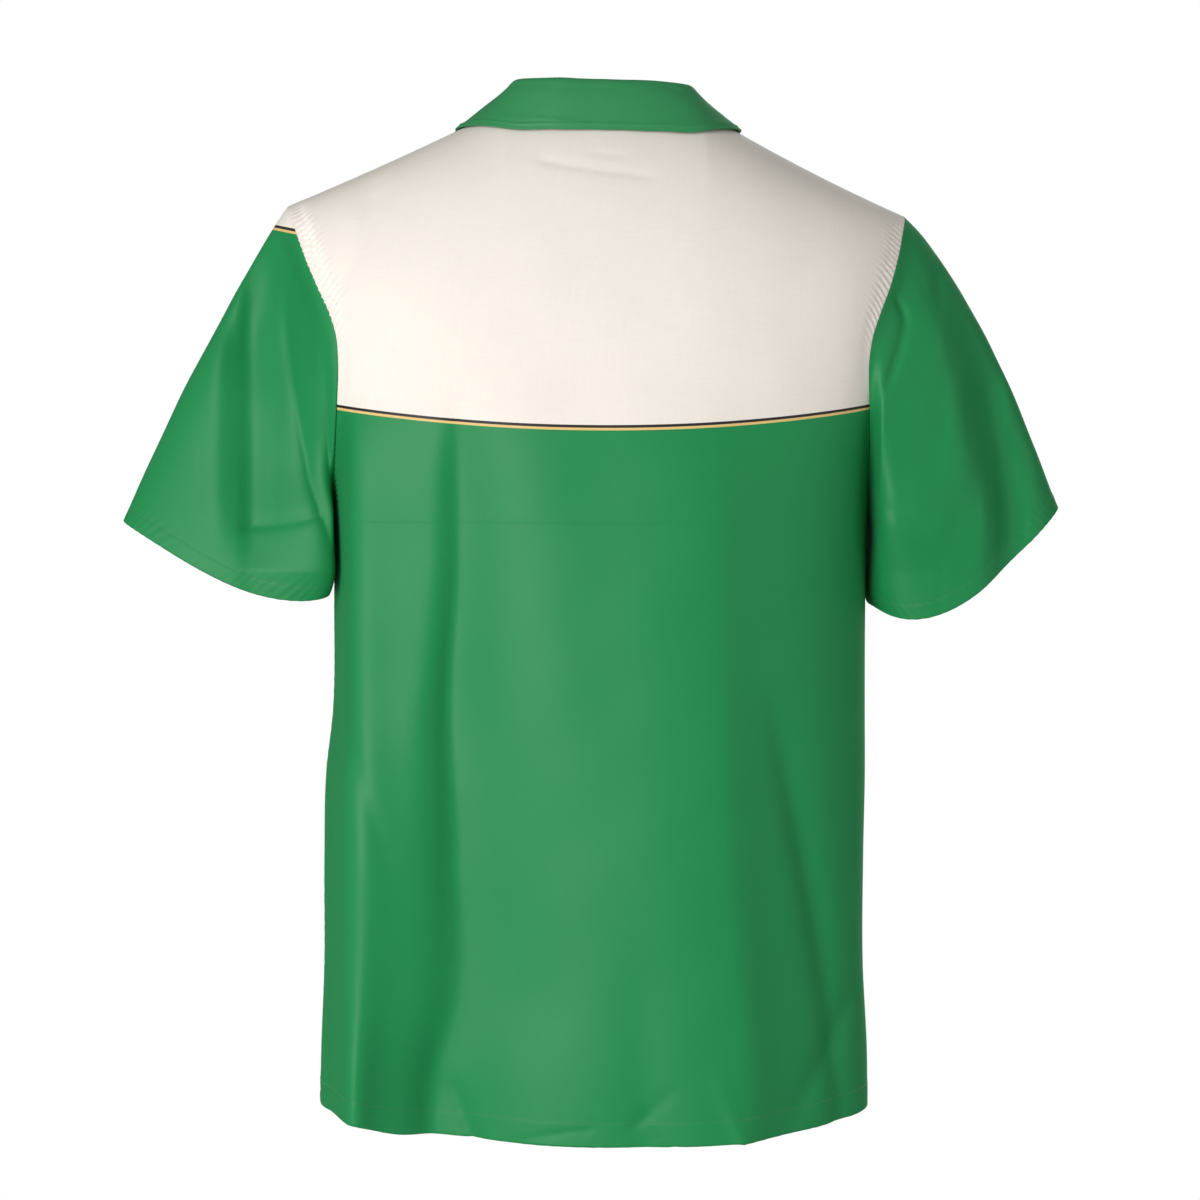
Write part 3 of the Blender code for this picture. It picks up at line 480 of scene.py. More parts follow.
def capsules(at, way, out, length):
    # one stitch at each place: rings of a few points along its way whose radius is an ellipse's,
    # its two ends bent down into the cloth
    side = np.cross(out, way)
    ends, size = stitch["ends"], stitch["sizes"][:, None]
    turn = np.arange(stitch["sides"]) * tau / stitch["sides"]
    side, way, out = side[:, None, None], way[:, None, None], out[:, None, None]
    along = (ends * length / 2)[None, :, None, None] * way
    wide = (size * np.cos(turn))[None, ..., None] * side * stitch["width"] / 2
    tall = (size * np.sin(turn))[None, ..., None] * out * stitch["height"] / 2
    sunk = out * (stitch["lift"] - stitch["bend"] * ends ** 2)[None, :, None, None]
    return (at[:, None, None] + along + wide + tall + sunk).reshape(-1, 3)


def stitchRow(line, normals, start, end):
    # stitches at an even step along a line, from one part of its length to another
    run = np.append(0.0, np.cumsum(np.linalg.norm(np.diff(line, axis=0), axis=1)))
    step = stitch["length"] + stitch["gap"]
    count = int((end - start) * run[-1] / step)
    centre = start * run[-1] + (np.arange(count) + 0.5) * step
    at, ahead, out = (np.stack([np.interp(place, run, column) for column in values.T], axis=-1)
                      for place, values in ((centre, line), (centre + 0.5, line), (centre, normals)))
    return capsules(at, unit(ahead - at), unit(out), stitch["length"])


def edgeStitches(outer, normals, edge, inset, run=(0.0, 1.0), below=None):
    # stitches a distance in from an edge; with a height given, only under that height
    line = lineInside(outer, edge, inset)
    if below is None:
        return stitchRow(line, lineInside(normals, edge, 0.0), *run)
    low = line[:, 2] < below
    return stitchRow(line[low], lineInside(normals, edge, stitch["normalIn"])[low], *run)


def stitchPiece(name, rows, material):
    # the stitches of one panel as one piece
    points = np.concatenate(rows)
    sides, rings = stitch["sides"], len(stitch["ends"])
    ring, place = np.meshgrid(np.arange(rings - 1), np.arange(sides), indexing="ij")
    after = (place + 1) % sides
    quads = np.stack([ring * sides + place, ring * sides + after,
                      (ring + 1) * sides + after, (ring + 1) * sides + place], axis=-1).reshape(-1, 4)
    caps = np.stack([np.arange(sides)[::-1], np.arange(sides) + (rings - 1) * sides])
    shift = np.arange(0, len(points), sides * rings)[:, None, None]
    faces = (quads + shift).reshape(-1, 4).tolist() + (caps + shift).reshape(-1, sides).tolist()
    mesh = bpy.data.meshes.new(name)
    mesh.from_pydata((points * millimetre).tolist(), [], faces)
    mesh.shade_smooth()
    mesh.materials.append(material)
    return linked(name, mesh)


# materials

class Wire:
    # a socket that arithmetic works on by adding Math nodes, and from which other nodes are added
    def __init__(self, tree, socket=None):
        self.tree, self.socket = tree, socket

    def node(self, kind, settings=None, values=None, out=0):
        made = self.tree.nodes.new("ShaderNode" + kind)
        for key, setting in (settings or {}).items():
            setattr(made, key, setting)
        for key, value in (values or {}).items():
            if isinstance(value, Wire):
                self.tree.links.new(value.socket, made.inputs[key])
            else:
                made.inputs[key].default_value = value
        return Wire(self.tree, made.outputs[out])

    def feed(self, shader, key):
        self.tree.links.new(self.socket, shader.inputs[key])

    def math(self, operation, *values, clamp=False):
        return self.node("Math", {"operation": operation, "use_clamp": clamp}, dict(enumerate(values)))

    def sine(self):
        return self.math("SINE", self)

    def above(self, level, soft):
        # 1 where the value is over the level and 0 under it, over a soft width
        return self.math("ADD", (self - level) / soft, 0.5, clamp=True)

    def mix(self, low, high, part=None):
        # colours: low where the socket, or the part given in its place, is 0 and high where it is 1
        part = self if part is None else part
        return self.node("Mix", {"data_type": "RGBA"}, {0: part, 6: low, 7: high}, out=2)

    def scaled(self, colour):
        # a colour times the socket
        colour = colour if isinstance(colour, Wire) else colour[:3]
        return self.node("VectorMath", {"operation": "SCALE"}, {0: colour, 3: self})

    def noise(self, vector, scale, detail=2.0, stretch=None):
        if stretch:
            vector = self.node("Mapping", None, {0: vector, 3: stretch})
        return self.node("TexNoise", None, {"Vector": vector, "Scale": scale, "Detail": detail})

    def split(self, vector, count):
        # a vector's parts, in millimetres
        return [self.node("SeparateXYZ", None, {0: vector}, out=k) * (1 / millimetre) for k in range(count)]

    def bump(self, shader, height, strength, depth):
        values = {"Strength": strength, "Distance": depth, "Height": height}
        self.node("Bump", None, values).feed(shader, "Normal")


for sign, operation in (("add", "ADD"), ("radd", "ADD"), ("sub", "SUBTRACT"), ("mul", "MULTIPLY"),
                        ("rmul", "MULTIPLY"), ("truediv", "DIVIDE")):
    setattr(Wire, f"__{sign}__", lambda self, other, operation=operation: self.math(operation, self, other))


def startMaterial(name, settings):
    # a Principled material with its constants on its own sockets
    material = bpy.data.materials.new(name)
    material.use_nodes = True
    tree = material.node_tree
    shader = tree.nodes["Principled BSDF"]
    for key, value in settings.items():
        shader.inputs[key].default_value = value
    return material, Wire(tree), shader


printLooks = {
    "cream": (0.925, 0.860, 0.780, 1.0),
    "black": (0.006, 0.005, 0.005, 1.0),
    "gold": (0.80, 0.55, 0.21, 1.0),
    "green": (0.006, 0.226, 0.062, 1.0),
    "lineMiddle": -219.6,  # height of the cream's lower edge at the centre, in millimetres
    "lineRise": 14.3,  # how much higher it is where the trunk is 198 mm across from there
    "lineReach": 198.0,
    "blackWidth": 2.0,
    "goldWidth": 1.8,
    "edgeSoft": 0.12,
    "weavePitch": 0.52,  # between two threads of the weave
    "weaveDepth": 0.00003,
    "slub": 0.10,  # how much the threads differ in colour
    "patch": 0.07,  # and how much larger areas do
    "insidePale": 0.30,
    # the collar's green is the body's green made lighter and greyer: a painted sheen standing in for the
    # gloss on the collar and lapels
    "collarSheenGreen": (0.026, 0.240, 0.080, 1.0),
    "yarn": (1900.0, 45.0),  # how fast the colour changes across a yarn and along it
    "patchScale": 14.0,
    "insideTone": (0.75, 0.78, 0.72, 1.0),
    "yarnDull": 0.12,  # how much the roughness differs from yarn to yarn
    "patchDull": 0.10,
    "creamDull": 0.45,  # roughness added where the print is cream
    "edgeDull": 0.6,  # roughness added at the edges of what shows
}
printSurface = {"Roughness": 0.46, "IOR": 1.25, "Specular IOR Level": 0.92}


def overCream(x, z):
    # height over the cream's lower edge, a parabola round the trunk
    across = x / printLooks["lineReach"]
    return z - (printLooks["lineMiddle"] + across * across * printLooks["lineRise"])


def printedCloth(name, region, inside=False, plain="green"):
    # region is "trunk", a sleeve's (point, direction) towards its cream, or None for all one colour
    material, wire, shader = startMaterial(name, printSurface)
    looks = printLooks
    place = wire.node("TexCoord", out=3)
    cut = wire.node("UVMap", {"uv_map": "cut"})
    colour, extraDull = looks[plain], 0.0
    if region is not None:
        at = wire.split(place, 3)
        if region == "trunk":
            height = overCream(at[0], at[2])
        else:
            height = sum((value - start) * way for value, start, way in zip(at, *region))
        gold = looks["blackWidth"] + looks["goldWidth"]
        for level, tone in ((-gold, "gold"), (-looks["blackWidth"], "black"), (0.0, "cream")):
            over = height.above(level, looks["edgeSoft"])
            colour = over.mix(colour, looks[tone])
        extraDull = over * looks["creamDull"]
    # yarns differ a little from one to the next, and the dye a little from place to place
    fast, slow = looks["yarn"]
    warp = wire.noise(cut, 1.0, stretch=(fast, slow, 1.0))
    weft = wire.noise(cut, 1.0, stretch=(slow, fast, 1.0))
    patch = wire.noise(place, looks["patchScale"], 3.0)
    shade = (1 - looks["slub"] - looks["patch"] / 2
             + (warp + weft) * looks["slub"] + patch * looks["patch"])
    colour = shade.scaled(colour)
    if inside:
        colour = wire.mix(colour, looks["insideTone"], looks["insidePale"])
    colour.feed(shader, "Base Color")
    # plain weave: the threads' crowns alternate, as the product of two sines
    u, v = (value * (math.pi / looks["weavePitch"]) for value in wire.split(cut, 2))
    wire.bump(shader, u.sine() * v.sine() * 0.5 + (warp + weft) * 0.5, 1.0, looks["weaveDepth"])
    # the gloss dies away where the cloth is seen edge on
    facing = wire.node("LayerWeight", None, {"Blend": 0.5}, out=1)
    rough = (warp - 0.5) * looks["yarnDull"] + (patch - 0.5) * looks["patchDull"]
    rough = rough + facing * looks["edgeDull"] + extraDull + printSurface["Roughness"]
    rough.feed(shader, "Roughness")
    return material


sleeveLines = {  # a point of each sleeve's upper line, and the way from there into its cream
    1: ((238.8, 6.0, -75.5), (-0.197, 0.025, 0.980)),
    -1: ((-227.0, -5.0, -68.0), (0.25, -0.62, 0.74)),
}
insideCloth = printedCloth("clothInside", "trunk", inside=True)
insidePlain = printedCloth("clothInsidePlain", None, inside=True)
trunkCloth = printedCloth("printedCloth", "trunk")
# collar and lapels take the green with the painted sheen
collarCloth = printedCloth("collarCloth", None, plain="collarSheenGreen")
sleeveCloth = {hand: printedCloth(sided("sleeveCloth", hand), region) for hand, region in sleeveLines.items()}

threadLooks = {
    "green": (0.030, 0.225, 0.085, 1.0),
    "cream": (0.80, 0.73, 0.64, 1.0),
    "surface": {"Roughness": 0.45, "Sheen Weight": 0.2},
    "twist": 9.0, "shade": 0.06, "depth": 0.00005,  # of the plies
}


def threadMaterial(name, region):
    # sewing thread dyed to the cloth under it: twisted plies as a slanting ripple of the surface
    looks = threadLooks
    material, wire, shader = startMaterial(name, looks["surface"])
    x, y, z = wire.split(wire.node("TexCoord", out=3), 3)
    ply = ((x + y + z) * looks["twist"]).sine()
    colour = looks["green"]
    if region == "trunk":
        colour = overCream(x, z).above(-printLooks["blackWidth"], 0.5).mix(colour, looks["cream"])
    # the colour darkens with the same ripple where the plies sink: painted shade in the grooves between plies
    (1 - looks["shade"] + ply * looks["shade"]).scaled(colour).feed(shader, "Base Color")
    wire.bump(shader, ply, 0.5, looks["depth"])
    return material


trunkThread = threadMaterial("trunkThread", "trunk")
greenThread = threadMaterial("greenThread", None)
print("materials made")


# back, fronts and sleeves

back = {
    "inner": 0.0, "corner": 0.5, "hem": -738.0, "hemRise": 9.0, "hemCorner": 9.0,
    "across": ((0.5, 32), (0.93, 26), (1.0, 20)),
    "drapes": [
        uprightFold(  # the main trough, from the shoulder blade to the hem
            (-190, 106, 12, 26, 0), (-245, 107, 13, 30, -7), (-318, 107, 14, 38, -11.5),
            (-420, 112, 17, 56, -17), (-530, 107, 24, 74, -21), (-632, 106, 32, 80, -24),
            (-690, 121, 26, 70, -25), (-760, 125, 24, 66, -25), roundness=1.0),
        uprightFold(  # the corner beside it, where the back turns to the side
            (-200, 188, 14, 30, 0), (-245, 188, 14, 34, 20), (-318, 188, 14, 34, 28),
            (-420, 188, 14, 36, 32), (-530, 188, 13, 40, 36), (-632, 188, 13, 34, 40),
            (-690, 188, 12, 28, 44), (-760, 188, 12, 26, 42)),
        uprightFold(  # the broad crest past the centre, which sets the middle facing the left
            (-190, -70, 90, 44, 0), (-260, -72, 100, 40, 6), (-400, -74, 110, 36, 11),
            (-560, -84, 125, 34, 15), (-690, -96, 125, 32, 16.5), (-760, -98, 125, 32, 16.5)),
        uprightFold(  # the far side's long soft fold
            (-400, -116, 14, 22, 0), (-450, -124, 12, 22, -4), (-530, -140, 10, 20, -7.5),
            (-605, -155, 10, 18, -8), (-690, -168, 10, 15, -7), (-760, -174, 10, 14, -6)),
        uprightFold(  # a shallow trough beside the centre
            (-560, -20, 24, 24, 0), (-640, -22, 24, 24, -1.5), (-700, -24, 22, 22, -2.6),
            (-760, -26, 20, 20, -3.4)),
    ],
    "creases": creases(
        (196, -421, 166, -517, 0, 9, 9, 0.5, -3, -1.5),
        (-190, -633, -149, -700, 0, 12, 12, 0.5, -4, -3),
        (111.8, -706, 97, -745, 0, 5, 8, 0.25, -2.2, -3.8),
        (-80, -700, -97, -745, 0, 5, 8, 0.3, 1.4, 4.4),
        (-21, -720, -40, -702, 0, 3, 5, 0.3, -1.8, -1),
        (-28, -716, -46, -741, 1, 3, 5, 0.3, -1.2, -1.6),
        (20, -726, 64, -735, 1, 4, 6, 0.4, -1, -0.8)),
    "wrinkles": creases(  # in the yoke, so kept out of the fade at the top
        (42, -32, -23, -42, 1, 3, 6, 0.3, -1.2, -0.8),
        (7.7, -25.5, -8.7, -26.8, 0.5, 2, 2.5, 0.3, -0.7, -0.5),
        (170, -62, 188, -112, -2, 6, 9, 0.4, -3.2, -1.6),
        (60, -150, 30, -190, 4, 18, 22, 0.8, -0.8, -0.5)),
}
fronts = {
    "inner": -17.0, "corner": 8 / 14, "hem": -734.0, "hemRise": 10.0, "hemCorner": 0.0,
    "across": ((5 / 14, 24), (8 / 14, 20), (0.93, 26), (1.0, 17)),
    "break": -128.0, "roll": 0.75, "gorge": 24,  # the lapel's column where the collar ends
    "lapHalf": 17.0, "lapLift": 2.1, "lapSlope": 26.0,
    1: {
        "drapes": [
            uprightFold(
                (-200, 104, 16, 22, 0), (-300, 110, 16, 22, -3.5), (-420, 116, 18, 24, -5),
                (-560, 120, 18, 24, -6), (-680, 121, 20, 26, -7.5), (-760, 122, 22, 26, -8.5)),
            uprightFold(
                (-420, 170, 14, 14, 0), (-560, 165, 14, 16, 2), (-760, 160, 18, 18, 4)),
            uprightFold(
                (-330, 62, 18, 22, 0), (-470, 58, 18, 20, 2), (-620, 62, 20, 20, 2.6),
                (-760, 66, 20, 20, 3.4)),
        ],
        "creases": creases(
            (182, -300, 120, -352, -6, 9, 14, 0.4, -2.4, -0.8),
            (190, -455, 158, -540, 0, 9, 9, 0.5, -2.6, -1.4),
            (88, -700, 76, -742, 0, 6, 8, 0.3, -1.2, -2),
            (30, -168, 92, -236, 5, 14, 16, 0.7, -1.6, -0.6)),
    },
    -1: {
        "drapes": [
            uprightFold(
                (-190, -96, 20, 16, 0), (-300, -102, 22, 16, -3), (-420, -110, 24, 18, -5),
                (-560, -116, 24, 18, -6), (-680, -120, 26, 20, -7), (-760, -122, 26, 22, -8)),
            uprightFold(
                (-480, -165, 14, 14, 0), (-600, -158, 14, 16, 2), (-760, -150, 18, 18, 4)),
        ],
        "creases": creases(
            (-184, -306, -128, -368, 6, 12, 9, 0.4, -2.2, -0.7),
            (-192, -610, -150, -690, 0, 11, 11, 0.5, -3.2, -2.2),
            (-70, -704, -60, -742, 0, 7, 6, 0.3, -1.6, -2.2)),
    },
}
seams = {
    **bands(  # rise, stitch, sink, groove, pitch, slant, start, pucker, reach
        ("armhole", 0.35, 7.5, 1.3, 4, 5, -0.25, 0.4, 2.7, 6.5),
        ("hem", 0.25, 17.5, 0.28, 0.8, 9, 0.6, 1.9, 0.16, 9),
        ("vent", 0.18, 5, 0.16, 0.8, 6, 0.5, 0.8, 0.12, 5),
        ("side", 0.15, 2, 0, 0.8, 7, 0.6, 2.4, 0.2, 8),
        ("shoulder", 0.1, 2, 0, 0.8, 8, 0.4, 0.2, 0.1, 6),
        ("neck", 0.08, 2, 0, 0.8, 8.5, 0.3, 1.1, 0.12, 8),
        ("cap", 0, 1, 0, 0.8, 6.2, -0.5, 0.9, 0.22, 7),
        ("cuff", 0.25, 11, 0.28, 0.8, 7.6, 0.7, 2.2, 0.14, 7),
        ("collar", 0, 3.7, 0.55, 0.8, 6.5, 0.4, 0.3, 0.24, 4)),
    "rightCalm": 0.24,  # how strong the right armhole's puckers are beside the left's
    "calmBelow": (-195.0, -160.0, 0.2),  # and both die away to this over these heights
    "foldFade": 26.0,  # creases die away over this distance from a side seam
    "drapeFade": 14.0,  # and upright folds over this
    "topFade": 78.0, "wrinkleFade": (2.0, 14.0), "armholeFade": 6.0,
    "neckBlend": 2.0, "underarmBlend": 8.0, "ventBlend": 6.0,
    "ventTop": -651.0, "ventSpread": 2.4, "ventOpening": 60.0,
    "hemRun": (0.01, 0.99), "ventRun": (0.18, 1.0),  # the parts of them that have stitches
    "waver": 0.55,  # size of the slow unevenness
    "doubled": 0.9, "doubledEnd": 1.2,  # cloth added where it is turned up, and how that ends
    "upperDraw": 0.6,  # how far armhole edges are drawn back, to the side seams'
}


def under(z, height, soft):
    # 1 below a height and 0 above it
    return ease(-z, -height - soft, -height + soft)


def panelPush(grid, looks, edges, innerFree):
    # what moves a panel's points out along its normals, creases, slow unevenness and the bands at seams
    # and hem, and what moves them straight back or front, its upright folds
    x, z = grid[..., 0], grid[..., 2]
    below = z.max(axis=0) - z
    fade = drapeFade = ease(below, 0.0, seams["topFade"])
    for edge in edges:
        fromSide = np.abs(x - x[:, [columnAt[edge]]])
        fade = fade * ease(fromSide, 0.0, seams["foldFade"])
        drapeFade = drapeFade * ease(fromSide, 0.0, seams["drapeFade"])
    if innerFree:
        inner = ease(np.abs(x) - fronts["lapHalf"], 0.0, seams["foldFade"])
        fade, drapeFade = fade * inner, drapeFade * inner
    push = (creasePush(x, z, looks["creases"]) + unevenness(x, z, seams["waver"])) * fade
    deeper = sum(drapePush(x, z, drape) for drape in looks["drapes"]) * drapeFade
    push += creasePush(x, z, looks.get("wrinkles", {})) * ease(below, *seams["wrinkleFade"])
    lower = under(z, trunk["underarm"], seams["underarmBlend"])
    vent = under(z, seams["ventTop"], seams["ventBlend"])
    start, end, least = seams["calmBelow"]
    calm = (np.where(x > 0, 1.0, seams["rightCalm"]) * ease(below, 0.0, seams["armholeFade"])
            * (least + (1 - least) * ease(z, start, end)))
    fromHem, fromTop = lengthAlong(grid, 0), lengthAlong(grid, 0, fromEnd=True)
    for edge in edges:
        inward = lengthAlong(grid, 1, fromEnd=edge == "last")
        along = fromHem[:, [columnAt[edge]]]
        along = along - along[underarmRow]
        push += seamBand(inward, along, seams["armhole"]) * (1 - lower) * calm
        push += seamBand(inward, along, seams["side"]) * lower * (1 - vent)
        push += seamBand(inward, along, seams["vent"]) * vent
    push += seamBand(fromHem, x, seams["hem"])
    onShoulder = ease(np.abs(x) - trunk["neckHalf"], -seams["neckBlend"], seams["neckBlend"])
    push += seamBand(fromTop, x, seams["shoulder"]) * onShoulder
    if not innerFree:
        push += seamBand(fromTop, x, seams["neck"]) * (1 - onShoulder)
    return push, deeper


def doubled(distance, stitchLine):
    # number of layers beside a folded edge
    return 1 + seams["doubled"] * (1 - ease(distance, stitchLine, stitchLine + seams["doubledEnd"]))


def sideDraw(z):
    # half the seam's gap down to the vent, and further back towards the hem
    vent = ease(-z, -seams["ventTop"], -seams["ventTop"] + seams["ventOpening"])
    return np.where(z <= trunk["underarm"] + 0.01, cloth["seamDraw"] + seams["ventSpread"] * vent,
                    cloth["seamDraw"] * seams["upperDraw"])[:, None]


def finishPanel(grid, normals, looks, edges, innerFree):
    # push the panel's points out, turn its wall to suit, and draw its seams' edges back
    push, deeper = panelPush(grid, looks, edges, innerFree)
    outer = grid + push[..., None] * normals
    outer[..., 1] += deeper * np.sign(grid[0, grid.shape[1] // 2, 1])
    plain = normalsOf(grid)
    sign = np.sign(np.sum(plain * normals, axis=-1, keepdims=True))
    turned = unit(normals + (normalsOf(outer) - plain) * sign)
    turned[-1] = normals[-1]
    thick = doubled(lengthAlong(grid, 0), seams["hem"]["stitch"])
    for edge in edges:
        column = columnAt[edge]
        turned[:, column] = normals[:, column]
        layers = doubled(lengthAlong(grid, 1, fromEnd=edge == "last"), seams["vent"]["stitch"])
        thick = np.maximum(thick, 1 + (layers - 1) * under(grid[..., 2], seams["ventTop"], 2))
        outer = drawBack(outer, edge, sideDraw(grid[:, column, 2]))
    onShoulder = np.abs(grid[-1, :, 0]) > trunk["neckHalf"] - 0.01
    outer = drawBack(outer, "top", np.where(onShoulder, cloth["seamDraw"], 0.0)[:, None])
    return outer, turned, cloth["wall"] * thick[..., None]


forms, normals = {}, {}
for hand in (1, -1):
    for face, panel in ((1, back), (-1, fronts)):
        forms[face, hand] = panelForm(hand, face, panel)
        normals[face, hand] = panelNormals(forms[face, hand], hand, face, panel)

sleeves = {
    "down": ((0.06, 8), (0.91, 56), (1.0, 18)),
    "leave": 0.85, "arrive": 0.75,  # the handles of its lines, as parts of their run
    "underWay": (0.36, 0.0, -0.93), "upperSide": 0.4,
    "hemSkew": 0.5, "drapeFade": (1.0, 18.0), "foldFade": (2.0, 52.8), "waver": 0.5,
    "waverScale": (1.3, 1.2),
    "backFrom": (-0.3, 0.3),  # the turn's sine over which the front's folds give way
    "foldsFrom": (-0.92, -0.55), "drapesFrom": (-0.999, -0.96),  # and folds start, off the underside
    "coverAt": 0.8, "coverWidth": 0.4, "coverFrom": (255, 300),
    "closeBelow": (244, 284), "closeBehind": (32, 52), "closeInside": (0.2, 0.9),
    "underSink": 0.45, "underWidth": 1.1, "mitre": 1.2,
    1: {
        "centre": (275.0, -4.0, -318.0), "halfWidth": 80.3, "halfDepth": 46.0, "fall": 0.342,
        "backDip": 17.0, "frontDip": 3.0, "way": (0.42, -0.06, -0.91), "follow": 0.30,
        "closeIn": 4.6,  # how far the hem's inner corner leans in behind the trunk
        "cover": 1.6,  # bulge that closes the view between the sleeve and the trunk
        "backDepth": depths(  # the main fold's valley 50 mm out from the trunk, and the swell beside it
            (0, 190, 200, 208, 215, 230, 244, 256, 268, 280, 295, 310, 330, 350),
            (-326, 34, 32, 26, 21, 12, 6, 3, 2, 0, -2, -2, -1, 0),
            (-290, 24, 20, 12, 7, -2, -9, -12, -7, -4, -5, -6, -5, 0),
            (-246, 0, -5, -9, -13, -18, -22.5, -24, -17, -10.5, -8, -6, -3, 0),
            (-203, -3, -6, -10, -15, -22.5, -26, -25.5, -17, -8.5, -5, -3, 0, 0),
            (-160, 0, -3, -8, -15, -25.5, -29, -28, -16, -4, 0, 0, 0, 0),
            (-116, 0, 0, -3, -10, -22, -25, -17, -3, 0, 0, 0, 0, 0),
            (-60, 0, 0, -2, -4, -5, -2, 0, 0, 0, 0, 0, 0, 0)),
        "backDrapes": [
            uprightFold(
                (-320, 201, 5, 5, 0), (-290, 208, 5, 7, -2.4), (-225, 220, 5, 8, -3.2),
                (-160, 230, 4, 7, -3.4), (-110, 233, 4, 6, 0), roundness=0.3),
        ],
        "backCreases": creases(
            (256, -295, 201, -284, 2.5, 3, 6, 0.3, -2.6, -2.4),
            (270, -100, 296, -170, -3, 8, 12, 0.6, -1.6, -0.8)),
        "frontCreases": creases(
            (228, -105, 262, -370, 8, 16, 12, 0.6, -3.5, -5.5),
            (212, -180, 238, -300, -6, 8, 7, 0.5, -2.2, -1.4),
            (262, -120, 306, -330, 5, 14, 14, 0.6, -1.5, -3.5)),
    },
    -1: {
        "centre": (-271.5, -4.0, -319.5), "halfWidth": 80.0, "halfDepth": 46.0, "fall": 0.495,
        "backDip": 27.0, "frontDip": 3.0, "way": (-0.38, -0.06, -0.92), "follow": 0.60,
        "closeIn": 0.0, "cover": 2.4,
        "backDepth": depths(  # one broad ridge running out to the hem, a valley outside it
            (0, 190, 200, 208, 216, 224, 232, 240, 247, 254, 262, 270, 278, 286, 294, 302, 310, 320, 345),
            (-328, 20, 20, 18, 17, 16, 15, 14, 13, 12.5, 11.5, 10.5, 8.5, 4, -2, -5, -5, -2, 0),
            (-290, 26, 25, 23, 21, 20, 19, 18, 17, 15.3, 14, 13, 12, 6, -3, -7, -6, -2, 0),
            (-246, 20, 18, 16, 14.5, 14, 13.5, 13.5, 14, 14.5, 13.5, 9.6, 3, -4.5, -9.5, -9, -4.5, 0, 0),
            (-203, 10, 9.8, 9.8, 10.5, 11.6, 12.8, 13.6, 14, 15, 12, 4, -4, -8, -6.5, -1, 0, 0, 0),
            (-160, 2, 2, 3, 5, 7, 9.5, 12, 13, 10.5, 5.5, 1.5, 0, 0, 0, 0, 0, 0, 0),
            (-116, -2, -2, -2, -2, 0, 2, 2, -1, 0, 0, 0, 0, 0, 0, 0, 0, 0, 0),
            (-60, 0, 0, 0, 0, 0, 0, 0, 0, 0, 0, 0, 0, 0, 0, 0, 0, 0, 0)),
        "backDrapes": [
            uprightFold(  # a short bent crease below the cap
                (-205, -198, 5, 5, 0), (-190, -205, 5, 5, -2), (-161, -215.5, 5, 5, -3),
                (-141, -218, 5, 5, -3), (-125, -209, 5, 5, -2), (-115, -203, 5, 5, 0)),
        ],
        "backCreases": creases(
            (-198, -282, -224, -292, -2, 5, 7, 0.4, -1.8, -1.2),
            (-222, -92, -238, -130, 1, 4, 5, 0.5, -1, -0.6)),
        "frontCreases": creases(
            (-226, -105, -256, -370, -8, 12, 16, 0.6, -3.5, -5.5),
            (-212, -180, -236, -300, 6, 7, 8, 0.5, -2.2, -1.4),
            (-262, -120, -302, -330, -5, 14, 14, 0.6, -1.5, -3.5)),
    },
}


def sleeveForm(hand, looks, ring, ringNormals):
    # lines from the armhole to the hem, each a cubic between two handles: those of the upper side
    # leave square to the armhole, and those of the underside hang straight
    count, top = len(ring), len(ring) // 2
    run = np.append(0.0, np.cumsum(np.linalg.norm(np.roll(ring, -1, axis=0) - ring, axis=1)))
    place = np.arange(count)
    around = np.where(place <= top, 0.5 * run[:-1] / run[top],
                      0.5 + 0.5 * (run[:-1] - run[top]) / (run[-1] - run[top]))
    turn = tau * around
    across = unit(np.array([hand, 0.0, looks["fall"]]))
    dip = np.where(np.sin(turn) > 0, looks["backDip"], looks["frontDip"]) * np.sin(turn) ** 2
    dip = dip * (1 + sleeves["hemSkew"] * np.cos(turn))
    hem = (np.array(looks["centre"]) - looks["halfWidth"] * np.cos(turn)[:, None] * across
           + looks["halfDepth"] * np.stack([0 * turn, np.sin(turn), 0 * turn], axis=-1)
           - dip[:, None] * upward)
    edge = unit(np.roll(ring, -1, axis=0) - np.roll(ring, 1, axis=0))
    square = unit(np.cross(ringNormals, edge)) * hand
    hang = np.array(sleeves["underWay"]) * (hand, 1.0, 1.0)
    arrive = unit(np.array(looks["way"]))
    upper = ease(-np.cos(turn), -1.0, sleeves["upperSide"])[:, None]
    follow = looks["follow"]
    leave = unit(follow * upper * square + (1 - follow) * upper * arrive + (1 - upper) * hang)
    chord = np.linalg.norm(hem - ring, axis=1)[:, None]
    t = stretches(*sleeves["down"])[:, None, None]
    grid = hermite(ring, sleeves["leave"] * chord * leave, hem, sleeves["arrive"] * chord * arrive, t)
    return grid, turn, unit(square + leave)


